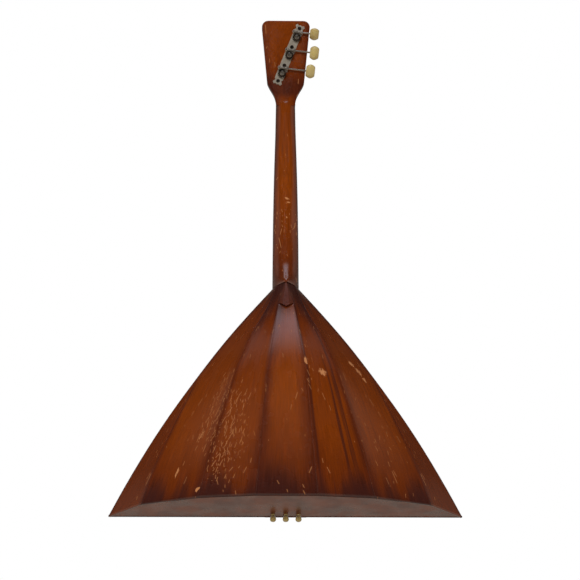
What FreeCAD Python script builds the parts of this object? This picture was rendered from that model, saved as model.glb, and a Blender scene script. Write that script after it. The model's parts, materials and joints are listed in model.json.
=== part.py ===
"""A prima balalaika, seven-staved back, three strings on worm-geared tuners.

Millimetres. +Z runs up the neck, the soundboard faces -Y and the staved back faces +Y.
The origin is on the centre line at the nut: Y = 0 is the plane of the soundboard's outer
face, which is also the joint between the neck and its fingerboard.
"""
import FreeCAD, Part, Sketcher
import math
import os
from FreeCAD import Placement, Rotation, Vector

doc = FreeCAD.newDocument("balalaika")

# ---------------------------------------------------------------- driving dimensions
DIMENSIONS = {
    "scale_length": 435.0,
    "fret_count": 19,
    "neck_length": 253.0,
    "body_length": 294.0,
    "body_half_width": 220.0,
    "body_depth": 78.0,
    "tail_slant": 11.0,
    "stave_thickness": 2.4,
    "board_thickness": 2.6,
    "binding_width": 2.0,
    "nut_half_width": 12.7,
    "joint_half_width": 17.0,
    "neck_depth": 16.0,
    "heel_depth": 40.0,
    "fingerboard_thickness": 4.0,
    "fingerboard_end": 300.0,
    "head_length": 111.5,
    "head_half_width": 31.6,
    "head_waist": 24.3,
    "head_thickness": 12.0,
    "head_tilt": 10.0,
    "veneer_thickness": 1.6,
    "hole_place": 386.0,
    "hole_radius": 17.5,
    "rosette_width": 5.0,
    "inlay_height": 0.6,
    "bridge_height": 11.0,
    "string_spacing": 8.0,
    "string_radius": 0.4,
    "tail_pin_spacing": 15.8,
    "tail_pin_radius": 3.8,
    "plate_length": 86.0,
    "plate_width": 11.5,
    "plate_thickness": 1.0,
    "plate_lean": 21.7,
    "shaft_slope": 6.5,
    "tuner_pitch": 26.0,
    "gear_teeth": 14,
    "gear_radius": 5.7,
    "gear_thickness": 2.4,
    "worm_radius": 2.2,
    "worm_distance": 7.1,
    "shaft_radius": 1.1,
    "post_radius": 3.0,
    "running_gap": 0.05,
    "knob_length": 11.8,
    "knob_height": 18.6,
    "knob_width": 12.0,
}
sheet = doc.addObject("Spreadsheet::Sheet", "Sheet")
for row, (alias, number) in enumerate(DIMENSIONS.items(), start=1):
    sheet.set("A%d" % row, alias)
    sheet.set("B%d" % row, str(number))
    sheet.setAlias("B%d" % row, alias)
doc.recompute()


def size(alias):
    """A driving dimension as a number, read back from the sheet."""
    return float(sheet.get(alias))


JOINT_Z = -size("neck_length")
TAIL_Z = JOINT_Z - size("body_length")
BOARD_BACK = size("board_thickness")
SIDES = (("left", -1), ("right", 1))


# ---------------------------------------------------------------- drawing helpers
def new_body(label):
    body = doc.addObject("PartDesign::Body", label)
    body.Label = label
    return body


def add_sketch(body, plane, shift=0.0):
    """A sketch on one of the body's own origin planes, moved along the plane's normal."""
    sketch = body.newObject("Sketcher::SketchObject", body.Label + "_sketch")
    support = next(f for f in body.Origin.OriginFeatures if f.Role == plane)
    sketch.AttachmentSupport = [(support, "")]
    sketch.MapMode = "FlatFace"
    sketch.AttachmentOffset = Placement(Vector(0, 0, shift), Rotation())
    return sketch


def draw_loop(sketch, points):
    """A closed outline of straight lines through (x, y) points."""
    corners = [Vector(x, y, 0) for x, y in points]
    for start, end in zip(corners, corners[1:] + corners[:1]):
        sketch.addGeometry(Part.LineSegment(start, end), False)


def draw_circle(sketch, x, y, radius):
    """A circle; radius is a sheet expression such as "Sheet.hole_radius", or a number."""
    number = radius if isinstance(radius, float) else size(radius.split(".")[-1])
    index = sketch.addGeometry(Part.Circle(Vector(x, y, 0), Vector(0, 0, 1), number), False)
    if not isinstance(radius, float):
        constraint = sketch.addConstraint(Sketcher.Constraint("Radius", index, number))
        sketch.setExpression("Constraints[%d]" % constraint, radius)


def set_size(feature, name, value):
    """Bind a property to a sheet expression, or set a plain number."""
    if isinstance(value, str):
        feature.setExpression(name, value)
    else:
        setattr(feature, name, value)


def pad(body, sketch, length, reverse=False):
    feature = body.newObject("PartDesign::Pad", body.Label + "_pad")
    feature.Profile = sketch
    feature.Reversed = reverse
    set_size(feature, "Length", length)
    return feature


def pocket(body, sketch, length, reverse=False):
    """A pocket that is checked to have cut something away."""
    doc.recompute()
    before = body.Shape.Volume
    feature = body.newObject("PartDesign::Pocket", body.Label + "_pocket")
    feature.Profile = sketch
    feature.Reversed = reverse
    set_size(feature, "Length", length)
    doc.recompute()
    if body.Shape.Volume > before - 1e-6:
        raise RuntimeError("the pocket in %s cut nothing" % body.Label)
    return feature


def revolve(body, sketch, axis_role):
    """Turn a half profile once round one of the body's own origin axes."""
    feature = body.newObject("PartDesign::Revolution", body.Label + "_turned")
    feature.Profile = sketch
    axis = next(f for f in body.Origin.OriginFeatures if f.Role == axis_role)
    feature.ReferenceAxis = (axis, [""])
    feature.Angle = 360
    return feature


def turned(label, points, placement=Placement()):
    """A piece turned about its own Z axis from (radius, height) points."""
    body = new_body(label)
    sketch = add_sketch(body, "XZ_Plane")
    draw_loop(sketch, points)
    revolve(body, sketch, "Z_Axis")
    body.Placement = placement
    return body


def padded(label, plane, points, shift, length, reverse=False):
    """A piece of one outline, padded by a length from its plane."""
    body = new_body(label)
    sketch = add_sketch(body, plane, shift)
    draw_loop(sketch, points)
    pad(body, sketch, length, reverse)
    return body


def shaped(label, shape, placement=None):
    """A piece whose surfaces are ruled or lofted between space curves."""
    feature = doc.addObject("Part::Feature", label)
    feature.Label = label
    feature.Shape = shape
    if placement is not None:
        feature.Placement = placement
    return feature


def block(label, length, width, height, corner):
    """A plain rectangular stick or block, by its lowest corner."""
    feature = doc.addObject("Part::Box", label)
    feature.Label = label
    set_size(feature, "Length", length)
    set_size(feature, "Width", width)
    set_size(feature, "Height", height)
    feature.Placement = Placement(Vector(*corner), Rotation())
    return feature


def curve(points):
    """A smooth curve through a few points."""
    spline = Part.BSplineCurve()
    spline.interpolate([Vector(*point) for point in points])
    return spline


def ruled_solid(near_outer, far_outer, far_inner, near_inner):
    """A closed solid ruled between four space curves that run the same way."""
    edges = [c.toShape() for c in (near_outer, far_outer, far_inner, near_inner)]
    faces = [Part.makeRuledSurface(a, b) for a, b in zip(edges, edges[1:] + edges[:1])]
    for pick in (0, 1):
        tips = [edge.Vertexes[pick].Point for edge in edges]
        outer_end = Part.LineSegment(tips[0], tips[1]).toShape()
        inner_end = Part.LineSegment(tips[3], tips[2]).toShape()
        faces.append(Part.makeRuledSurface(outer_end, inner_end))
    shell = Part.Shell(Part.makeCompound(faces).Faces)
    shell.sewShape()
    solid = Part.Solid(shell)
    if solid.Volume < 0:
        solid.reverse()
    return solid


# ---------------------------------------------------------------- the body's lines
# One row per station down the body. Fractions of its length, half width and depth:
# (station, rim x, side ridge x and y, outer ridge x and y, inner ridge x and y)
STATIONS = (
    (0.00, 0.077, 0.077, 0.033, 0.057, 0.256, 0.004, 0.474),
    (0.10, 0.196, 0.196, 0.033, 0.107, 0.350, 0.042, 0.526),
    (0.25, 0.363, 0.363, 0.033, 0.200, 0.575, 0.072, 0.708),
    (0.40, 0.512, 0.511, 0.036, 0.276, 0.740, 0.102, 0.862),
    (0.60, 0.696, 0.623, 0.240, 0.354, 0.845, 0.126, 0.965),
    (0.80, 0.857, 0.730, 0.420, 0.425, 0.900, 0.148, 1.015),
    (1.00, 1.000, 0.809, 0.577, 0.490, 0.890, 0.172, 1.000),
)
SIDE_START = 3
SIDE_POINT = 0.02
RIDGE_MEETING = 0.3


def inset(points, distance):
    """The polyline moved sideways towards the inside of the section; ends stay at their height."""
    moved = []
    for index, (x, y) in enumerate(points):
        normals = []
        for a, b in ((index - 1, index), (index, index + 1)):
            if a >= 0 and b < len(points):
                run_x = points[b][0] - points[a][0]
                run_y = points[b][1] - points[a][1]
                length = math.hypot(run_x, run_y) or 1.0
                normals.append((-run_y / length, run_x / length))
        mean_x = sum(n[0] for n in normals) / len(normals)
        mean_y = sum(n[1] for n in normals) / len(normals)
        scale = distance / (mean_x * normals[0][0] + mean_y * normals[0][1])
        if index == 0:
            moved.append((x + distance / normals[0][0], y))
        else:
            moved.append((x + mean_x * scale, y + mean_y * scale))
    return moved


def section(row):
    """Rim, side ridge, outer ridge, inner ridge and its mirror, for the right half."""
    width = size("body_half_width")
    depth = size("body_depth")
    rim = (row[1] * width, BOARD_BACK)
    ridges = [(row[i] * width, row[i + 1] * depth) for i in (2, 4, 6)]
    return rim, ridges


def ridge_lines(skin):
    """Points of the rim and the three ridges down the body, outside or inside the staves."""
    lines = [[], [], [], []]
    slant = math.tan(math.radians(size("tail_slant")))
    for row in STATIONS:
        rim, ridges = section(row)
        outline = [rim] + ridges if row[0] > STATIONS[SIDE_START][0] else [rim] + ridges[1:]
        mirrored = (-outline[-1][0], outline[-1][1])
        moved = inset(outline + [mirrored], skin)[:-1]
        if len(outline) == 3:
            moved.insert(1, moved[0])
        for line, (x, y) in zip(lines, moved):
            z = JOINT_Z - row[0] * (size("body_length") - slant * y)
            line.append((max(x, RIDGE_MEETING), y, z))
    return lines


OUTER = ridge_lines(0.0)
INNER = ridge_lines(size("stave_thickness"))
RIM, SIDE_RIDGE, OUTER_RIDGE, INNER_RIDGE = range(4)


def mirror_x(points, side):
    return [(side * x, y, z) for x, y, z in points]


def mirrored_curve(points, side):
    return curve([(side * x, y, z) for x, y, z in points])


def part_of(points, side, first, last):
    """The stretch of a ridge's curve between two of its stations."""
    whole = mirrored_curve(points, side)
    ends = [Vector(side * points[i][0], points[i][1], points[i][2]) for i in (first, last)]
    whole.segment(whole.parameter(ends[0]), whole.parameter(ends[1]))
    return whole


def inner_stave(label, side):
    lines = [OUTER[OUTER_RIDGE], OUTER[INNER_RIDGE], INNER[INNER_RIDGE], INNER[OUTER_RIDGE]]
    return shaped(label, ruled_solid(*[mirrored_curve(line, side) for line in lines]))


def outer_stave(label, side):
    """Reaches the rim over the shoulder, and the side ridge from there to the tail."""
    last = len(STATIONS) - 1
    upper = ruled_solid(
        part_of(OUTER[RIM], side, 0, SIDE_START),
        part_of(OUTER[OUTER_RIDGE], side, 0, SIDE_START),
        part_of(INNER[OUTER_RIDGE], side, 0, SIDE_START),
        part_of(INNER[RIM], side, 0, SIDE_START),
    )
    lower = ruled_solid(
        mirrored_curve(OUTER[SIDE_RIDGE][SIDE_START:], side),
        part_of(OUTER[OUTER_RIDGE], side, SIDE_START, last),
        part_of(INNER[OUTER_RIDGE], side, SIDE_START, last),
        mirrored_curve(INNER[SIDE_RIDGE][SIDE_START:], side),
    )
    return shaped(label, upper.fuse(lower).removeSplitter())


def side_stave(label, side):
    """A strip that runs out to a point where the side ridge leaves the rim."""
    last = len(STATIONS) - 1
    lines = [
        part_of(OUTER[RIM], side, SIDE_START, last),
        mirrored_curve(OUTER[SIDE_RIDGE][SIDE_START:], side),
        mirrored_curve(INNER[SIDE_RIDGE][SIDE_START:], side),
        part_of(INNER[RIM], side, SIDE_START, last),
    ]
    for line in lines:
        first, end = line.FirstParameter, line.LastParameter
        line.segment(first + SIDE_POINT * (end - first), end)
    return shaped(label, ruled_solid(*lines))


def notch_prism():
    """What the heel's arrow-shaped end takes out of the centre stave."""
    half, depth, drop = 30.0, 90.0, 0.54
    tip_z = OUTER[INNER_RIDGE][1][2]
    low = tip_z - drop * OUTER[INNER_RIDGE][1][0]
    outline = Part.makePolygon([
        Vector(0, 0, low),
        Vector(half, 0, low + drop * half),
        Vector(half, 0, low + depth),
        Vector(-half, 0, low + depth),
        Vector(-half, 0, low + drop * half),
        Vector(0, 0, low),
    ])
    return Part.Face(outline).extrude(Vector(0, depth, 0))


def centre_stave():
    curves = [
        mirrored_curve(OUTER[INNER_RIDGE], 1),
        mirrored_curve(OUTER[INNER_RIDGE], -1),
        mirrored_curve(INNER[INNER_RIDGE], -1),
        mirrored_curve(INNER[INNER_RIDGE], 1),
    ]
    return shaped("stave_centre", ruled_solid(*curves).cut(notch_prism()))


def heel_block(staves):
    """Fills the narrow end of the body; its arrow-shaped facet shows between the staves."""
    sections = []
    for station, skin in ((0, INNER), (1, INNER)):
        half = [skin[i][station] for i in (RIM, OUTER_RIDGE, INNER_RIDGE)]
        ring = [Vector(*point) for point in half]
        ring += [Vector(-x, y, z) for x, y, z in reversed(half)]
        sections.append(Part.makePolygon(ring + ring[:1]))
    core = Part.makeLoft(sections, True, True)
    facets = []
    top, tip = OUTER[INNER_RIDGE][:2]
    for along, rise in ((0.0, 0.5), (1.3, 0.9)):
        x, y, z = [a + along * (b - a) for a, b in zip(top, tip)]
        ring = [(x, y - 9), (x, y), (0.45 * x, y + rise)]
        ring += [(-px, py) for px, py in reversed(ring)]
        ring = [Vector(px, py, z) for px, py in ring]
        facets.append(Part.makePolygon(ring + ring[:1]))
    arrow = Part.makeLoft(facets, True, True).common(notch_prism())
    whole = core.fuse(arrow)
    for piece in staves:
        whole = whole.cut(piece.Shape)
    return shaped("heel_block", max(whole.Solids, key=lambda solid: solid.Volume))


inner_staves = [inner_stave("stave_inner_" + name, side) for name, side in SIDES]
outer_staves = [outer_stave("stave_outer_" + name, side) for name, side in SIDES]
side_staves = [side_stave("stave_side_" + name, side) for name, side in SIDES]
middle_stave = centre_stave()
heel_block(inner_staves + outer_staves + [middle_stave])


# ---------------------------------------------------------------- tail, linings and blocks
SLANT = math.radians(size("tail_slant"))


def tail_point(x, y):
    """A point of the tail's outer plane at a given height above the soundboard."""
    return Vector(x, y, TAIL_Z + math.tan(SLANT) * y)


def tail_plate():
    """Closes the wide end; its edge follows the seven staves."""
    skin = size("stave_thickness")
    half = [INNER[i][-1] for i in (RIM, SIDE_RIDGE, OUTER_RIDGE, INNER_RIDGE)]
    ring = [tail_point(x, y) for x, y, z in half]
    ring += [Vector(-p.x, p.y, p.z) for p in reversed(ring)]
    face = Part.Face(Part.makePolygon(ring + ring[:1]))
    along = Vector(0, -math.sin(SLANT), math.cos(SLANT)) * skin
    plate = face.extrude(along)
    for piece in inner_staves + outer_staves + side_staves + [middle_stave]:
        plate = plate.cut(piece.Shape)
    floor = Part.makeBox(500, 60, 400, Vector(-250, BOARD_BACK - 60, TAIL_Z - 100))
    return shaped("tail_plate", plate.cut(floor))


PIN_HEIGHT = 10.0
PIN_TILT = Rotation(Vector(1, 0, 0), 180.0 + size("tail_slant"))
PIN_PLACES = [(i - 2) * size("tail_pin_spacing") for i in (1, 2, 3)]


def pin_hole(x, radius, length):
    start = tail_point(x, PIN_HEIGHT)
    inward = Vector(0, -math.sin(SLANT), math.cos(SLANT))
    return Part.makeCylinder(radius, length, start - inward, inward)


def tail_block():
    """Spruce block behind the tail plate that holds the three string pins."""
    half, high, deep = 45.0, 60.0, 14.0
    skin = size("stave_thickness")
    outline = [tail_point(x, y) for x, y in ((-half, BOARD_BACK), (half, BOARD_BACK),
                                             (half, high), (-half, high))]
    inward = Vector(0, -math.sin(SLANT), math.cos(SLANT))
    face = Part.Face(Part.makePolygon(outline + outline[:1]))
    face.translate(inward * skin)
    solid = face.extrude(inward * deep)
    floor = Part.makeBox(400, 60, 400, Vector(-200, BOARD_BACK - 60, TAIL_Z - 100))
    return solid.cut(floor)


plate_piece = tail_plate()
block_shape = tail_block()
pin_radius = size("tail_pin_radius")
for place in PIN_PLACES:
    plate_piece.Shape = plate_piece.Shape.cut(pin_hole(place, 0.62 * pin_radius, 30.0))
    block_shape = block_shape.cut(pin_hole(place, 0.62 * pin_radius, 30.0))
shaped("tail_block", block_shape)


def tail_pin(index, place):
    """A turned peg: tapered shank in the block, a collar and a round head outside."""
    shank = 0.62 * pin_radius
    profile = [
        (0, -14.0), (0.8 * shank, -14.0), (shank, -0.5), (shank, 0.0),
        (0.72 * pin_radius, 0.0), (0.60 * pin_radius, 2.6), (0.66 * pin_radius, 3.4),
        (0.92 * pin_radius, 4.4), (pin_radius, 6.0), (0.92 * pin_radius, 7.8),
        (0.62 * pin_radius, 9.1), (0, 9.5),
    ]
    centre = tail_point(place, PIN_HEIGHT)
    return turned("tail_pin_%d" % index, profile, Placement(centre, PIN_TILT))


for index, place in enumerate(PIN_PLACES, start=1):
    tail_pin(index, place)


def rim_offset(distance, height):
    """The rim's line moved towards the middle of the board, at a height."""
    moved = []
    points = OUTER[RIM]
    for index, (x, y, z) in enumerate(points):
        before = points[max(index - 1, 0)]
        after = points[min(index + 1, len(points) - 1)]
        run_x, run_z = after[0] - before[0], after[2] - before[2]
        length = math.hypot(run_x, run_z)
        moved.append((x + distance * run_z / length, height, z + distance * -run_x / length))
    return moved


def rim_strip(label, side, near, far, low, high):
    """A strip that follows the rim between two distances from it and two heights."""
    lines = [rim_offset(near, high), rim_offset(far, high), rim_offset(far, low),
             rim_offset(near, low)]
    solid = ruled_solid(*[mirrored_curve(line, side) for line in lines])
    end = TAIL_Z + size("binding_width")
    solid = solid.cut(Part.makeBox(500, 90, 90, Vector(-250, -30, end - 90)))
    solid = solid.cut(Part.makeBox(500, 90, 90, Vector(-250, -30, JOINT_Z)))
    return shaped(label, solid)


LINING_DEPTH = 8.0
for name, side in SIDES:
    rim_strip("binding_" + name, side, 0.0, size("binding_width"), 0.0, BOARD_BACK)
tail_half = rim_offset(0.0, 0)[-1][0]
block("binding_tail", 2 * tail_half, "Sheet.board_thickness",
                   "Sheet.binding_width", (-tail_half, 0, TAIL_Z))


def lining(label, side):
    """A bent strip glued along the inside of the rim, which carries the soundboard."""
    lines = [rim_offset(3.6, BOARD_BACK), rim_offset(12.0, BOARD_BACK),
             rim_offset(12.0, BOARD_BACK + 3.5), rim_offset(7.6, BOARD_BACK + 3.5)]
    stretch = [line[1:] for line in lines]
    solid = ruled_solid(*[mirrored_curve(line, side) for line in stretch])
    skin_end = TAIL_Z + 4.5
    solid = solid.cut(Part.makeBox(500, 90, 90, Vector(-250, -30, skin_end - 90)))
    for piece in outer_staves + side_staves:
        solid = solid.cut(piece.Shape)
    return shaped(label, max(solid.Solids, key=lambda s: s.Volume))


for name, side in SIDES:
    lining("lining_" + name, side)


def soundboard():
    """Spruce plate inside the binding, with the round sound hole."""
    body = new_body("soundboard")
    sketch = add_sketch(body, "XZ_Plane")
    edge = [(x, z) for x, y, z in rim_offset(size("binding_width"), 0.0)]
    end = TAIL_Z + size("binding_width")
    slope = (edge[-1][0] - edge[-2][0]) / (edge[-1][1] - edge[-2][1])
    top_slope = (edge[1][0] - edge[0][0]) / (edge[1][1] - edge[0][1])
    edge[0] = (edge[0][0] + top_slope * (JOINT_Z - edge[0][1]), JOINT_Z)
    edge[-1] = (edge[-1][0] + slope * (end - edge[-1][1]), end)
    right = curve([(x, z, 0) for x, z in edge])
    left = curve([(-x, z, 0) for x, z in edge])
    for line in (right, left):
        sketch.addGeometry(line, False)
    for x, z in (edge[0], edge[-1]):
        line = Part.LineSegment(Vector(-x, z, 0), Vector(x, z, 0))
        sketch.addGeometry(line, False)
    draw_circle(sketch, 0, -size("hole_place"), "Sheet.hole_radius")
    pad(body, sketch, "Sheet.board_thickness", True)
    return body


soundboard()


def brace(label, z, half, width, depth):
    """A straight bar across the inside of the soundboard, with its ends thinned."""
    outline = [(-half, 0), (half, 0), (half, 2.5), (half - 18, depth),
               (18 - half, depth), (-half, 2.5)]
    body = new_body(label)
    sketch = add_sketch(body, "XY_Plane", z)
    draw_loop(sketch, [(x, y + BOARD_BACK) for x, y in outline])
    pad(body, sketch, width)
    return body


brace("upper_brace", -352.0, 78.0, 7.0, 12.0)
brace("lower_brace", -462.0, 146.0, 7.0, 12.0)


def corner_block(label, side):
    """Small glued triangle where rim, side stave and tail plate meet."""
    low = TAIL_Z + 5.0
    outline = [(side * 204.0, low), (side * 172.0, low), (side * 186.0, low + 24.0)]
    body = new_body(label)
    sketch = add_sketch(body, "XZ_Plane", -BOARD_BACK - 3.5)
    draw_loop(sketch, outline)
    pad(body, sketch, 7.0, True)
    return body


for name, side in SIDES:
    corner_block("corner_block_" + name, side)


# ---------------------------------------------------------------- neck and head
HEAD = Placement(Vector(), Rotation(Vector(1, 0, 0), -size("head_tilt")))
ROUND_BACK = ((1.0, 0.0), (0.985, 0.26), (0.86, 0.60), (0.50, 0.90), (0.0, 1.0))
POINTED_BACK = ((1.0, 0.0), (0.93, 0.20), (0.70, 0.52), (0.36, 0.80), (0.0, 1.0))
NECK_SECTIONS = (
    (3.0, 0.0, 0.79, 0.0), (-30.0, 0.09, 0.92, 0.0), (-120.0, 0.66, 1.0, 0.0),
    (-205.0, 0.93, 1.06, 0.0), (-226.0, 0.96, 1.22, 0.15), (-241.0, 0.98, 1.80, 0.6),
    (-250.0, 1.0, 2.42, 1.0), (-253.0, 1.0, 2.46, 1.0),
)


def neck_wire(z, spread, deepness, point):
    """Flat front and carved back; point goes from a round back to the heel's keel."""
    half = size("nut_half_width") + spread * (size("joint_half_width") - size("nut_half_width"))
    depth = deepness * size("neck_depth")
    mixed = [
        (half * (a[0] + point * (b[0] - a[0])), depth * (a[1] + point * (b[1] - a[1])))
        for a, b in zip(ROUND_BACK, POINTED_BACK)
    ]
    right = [(x, y, z) for x, y in mixed]
    left = [(-x, y, z) for x, y in reversed(mixed[:-1])]
    back = curve(right + left).toShape()
    front = Part.LineSegment(Vector(*left[-1]), Vector(*right[0])).toShape()
    return Part.Wire([back, front])


NECK_TOP = 1.5
WAIST_PLACE = 28.5


def head_outline():
    """Flare from the neck, straight sides that widen upwards, rounded top corners."""
    wide, top, waist = size("head_half_width"), size("head_length"), size("head_waist")
    base = size("nut_half_width")
    radius = 8.5
    flare = [(base, -2.0), (base + 0.7, 5.5), (base + 2.5, 11.0), (base + 5.7, 17.0),
             (base + 9.0, 22.5), (waist, WAIST_PLACE)]
    edges = []
    for side in (1, -1):
        edges.append(curve([(side * x, 0, z) for x, z in flare]).toShape())
        shoulder = Vector(side * wide, 0, top - radius)
        edges.append(Part.LineSegment(Vector(side * waist, 0, WAIST_PLACE), shoulder).toShape())
        bend = 0.2929 * radius
        middle = Vector(side * (wide - bend), 0, top - bend)
        crown = Vector(side * (wide - radius), 0, top)
        edges.append(Part.Arc(shoulder, middle, crown).toShape())
    inside = wide - radius
    edges.append(Part.LineSegment(Vector(-inside, 0, top), Vector(inside, 0, top)).toShape())
    edges.append(Part.LineSegment(Vector(-base, 0, -2.0), Vector(base, 0, -2.0)).toShape())
    return Part.Face(Part.Wire(Part.__sortEdges__(edges)))


LEAN = math.radians(size("plate_lean"))
GEAR_MIDDLE = (-4.7, 64.0)
GEAR_PLACES = []
for step in (1, 0, -1):
    run = step * size("tuner_pitch")
    GEAR_PLACES.append((GEAR_MIDDLE[0] - run * math.sin(LEAN), GEAR_MIDDLE[1] + run * math.cos(LEAN)))
HEAD_DEPTH = size("head_thickness") + size("plate_thickness")
NUT_DEPTH = 4.5
PLATE_MIDDLE = (-3.9, 65.8)
SCREW_PLACES = (38.0, 11.0, -15.5, -38.0)
SCREW_RADIUS = 1.4
PLATE_FRAME = HEAD * Placement(
    Vector(PLATE_MIDDLE[0], size("head_thickness"), PLATE_MIDDLE[1]),
    Rotation(Vector(-math.cos(LEAN), 0, -math.sin(LEAN)), Vector(-math.sin(LEAN), 0, math.cos(LEAN)),
             Vector(0, 1, 0), "ZYX"))


def post_bores(solid):
    """Drill the three post holes straight through the head."""
    radius = size("post_radius") + size("running_gap")
    for x, z in GEAR_PLACES:
        drill = Part.makeCylinder(radius, 60, Vector(x, -30, z), Vector(0, 1, 0))
        solid = solid.cut(drill)
    return solid


def neck():
    solid, ruled, closed, degree = True, False, False, 3
    wires = [neck_wire(*row) for row in NECK_SECTIONS]
    shaft = Part.makeLoft(wires, solid, ruled, closed, degree)
    shaft = shaft.common(Part.makeBox(80, 80, 400, Vector(-40, -20, NECK_TOP - 400)))
    slab = post_bores(head_outline().extrude(Vector(0, size("head_thickness"), 0)))
    slab.Placement = HEAD
    front = Part.makeBox(80, 40, 60, Vector(-40, -40, -40))
    whole = shaft.fuse(slab).cut(front)
    for place in SCREW_PLACES:
        drill = Part.makeCylinder(SCREW_RADIUS + 0.02, 12, Vector(0, place, -10))
        drill.Placement = PLATE_FRAME
        whole = whole.cut(drill)
    if len(whole.Solids) != 1 or whole.BoundBox.ZMax < 0.9 * size("head_length"):
        raise RuntimeError("the neck and the head are not one solid")
    return shaped("neck", whole.Solids[0])


neck()
veneer = head_outline().extrude(Vector(0, -size("veneer_thickness"), 0))
veneer = veneer.cut(Part.makeBox(80, 20, 30, Vector(-40, -10, NUT_DEPTH + 0.3 - 30)))
shaped("head_face", post_bores(veneer), HEAD)


# ---------------------------------------------------------------- front of the instrument
BOARD_FRONT = -size("fingerboard_thickness")
BOARD_SPREAD = size("joint_half_width") - size("nut_half_width")


def neck_half_width(z):
    return size("nut_half_width") + BOARD_SPREAD * -z / size("neck_length")


board_end = -size("fingerboard_end")
end_half = neck_half_width(board_end)
nut_half = size("nut_half_width")
padded("fingerboard", "XZ_Plane",
       [(-nut_half, 0), (nut_half, 0), (end_half, board_end), (-end_half, board_end)],
       0.0, "Sheet.fingerboard_thickness")


def fret_place(number):
    return -size("scale_length") * (1 - 2 ** (-number / 12))


FRET_WIDTH = 1.6
FRET_HEIGHT = 1.0
frets = []
for number in range(1, int(size("fret_count")) + 1):
    place = fret_place(number)
    half = neck_half_width(place) - 0.3
    corner = Vector(-half, BOARD_FRONT - FRET_HEIGHT, place - FRET_WIDTH / 2)
    frets.append(Part.makeBox(2 * half, FRET_HEIGHT, FRET_WIDTH, corner))
shaped("frets", Part.makeCompound(frets))

DOT_RADIUS = 2.6
dots = []
for number in (2, 5, 7, 10, 12):
    place = (fret_place(number) + fret_place(number - 1)) / 2
    dots.append(Part.makeCylinder(DOT_RADIUS, 0.2, Vector(0, BOARD_FRONT, place), Vector(0, -1, 0)))
shaped("position_dots", Part.makeCompound(dots))

NUT_TOP = BOARD_FRONT - 2.2
padded("nut", "YZ_Plane",
       [(0, 0.0), (NUT_TOP, 0.0), (NUT_TOP + 0.9, NUT_DEPTH), (0, NUT_DEPTH)],
       -nut_half, 2 * nut_half)

hole_z = -size("hole_place")


def ring(label, inner, outer, height):
    """A flat ring round the sound hole, standing on the soundboard."""
    body = new_body(label)
    sketch = add_sketch(body, "XZ_Plane")
    draw_circle(sketch, 0, hole_z, outer)
    draw_circle(sketch, 0, hole_z, inner)
    pad(body, sketch, height)
    return body


rosette_outer = size("hole_radius") + size("rosette_width")
ring("rosette", size("hole_radius") + 0.5, rosette_outer, "Sheet.inlay_height")


def pickguard():
    """A shield-shaped dark plate between fingerboard and bridge, open round the rosette."""
    half = [(21.0, board_end - 1.5), (34.0, board_end - 22), (54.0, board_end - 78),
            (57.0, board_end - 104), (48.0, board_end - 120), (24.0, board_end - 124)]
    body = new_body("pickguard")
    sketch = add_sketch(body, "XZ_Plane")
    edge_points = [(x, z, 0) for x, z in half] + [(0, half[-1][1] - 1.0, 0)]
    edge_points += [(-x, z, 0) for x, z in reversed(half)]
    sketch.addGeometry(curve(edge_points), False)
    top = Part.LineSegment(Vector(-half[0][0], half[0][1], 0), Vector(half[0][0], half[0][1], 0))
    sketch.addGeometry(top, False)
    draw_circle(sketch, 0, hole_z, rosette_outer + 0.6)
    pad(body, sketch, "Sheet.inlay_height")
    return body


pickguard()

BRIDGE_Z = -size("scale_length")
SADDLE_HEIGHT = 1.6
bridge_top = size("bridge_height") - SADDLE_HEIGHT
half_bridge = 30.0
bridge_outline = [(-half_bridge, 0), (-half_bridge, -2.2), (-17, -bridge_top), (17, -bridge_top),
                  (half_bridge, -2.2), (half_bridge, 0), (15, 0), (10, -3.6), (3.5, -4.2),
                  (2.5, 0), (-2.5, 0), (-3.5, -4.2), (-10, -3.6), (-15, 0)]
padded("bridge", "XY_Plane", bridge_outline, BRIDGE_Z - 2.2, 4.4)
block("bridge_saddle", 33.0, SADDLE_HEIGHT, 2.0, (-16.5, -size("bridge_height"), BRIDGE_Z - 1.0))
TAIL_SADDLE_HEIGHT = 2.0
block("tail_saddle", 52.0, TAIL_SADDLE_HEIGHT, 4.0, (-26.0, -TAIL_SADDLE_HEIGHT, TAIL_Z))


# ---------------------------------------------------------------- tuning machine
SLOPE = math.radians(size("shaft_slope"))


def tuner_frame(x, z):
    """x along the worm shaft to the knob, y up the head, z out of its back."""
    matrix = FreeCAD.Matrix(
        -math.cos(SLOPE), -math.sin(SLOPE), 0, x,
        0, 0, 1, HEAD_DEPTH,
        -math.sin(SLOPE), math.cos(SLOPE), 0, z,
        0, 0, 0, 1)
    return HEAD * Placement(matrix)


TUNERS = [tuner_frame(x, z) for x, z in GEAR_PLACES]
EAR_PLACES = (-4.9, 5.9)
EAR_THICKNESS = 1.3
EAR_WIDTH = 6.4
WORM_HEIGHT = 3.6
WORM_AXIS_Y = size("worm_distance")


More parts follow.
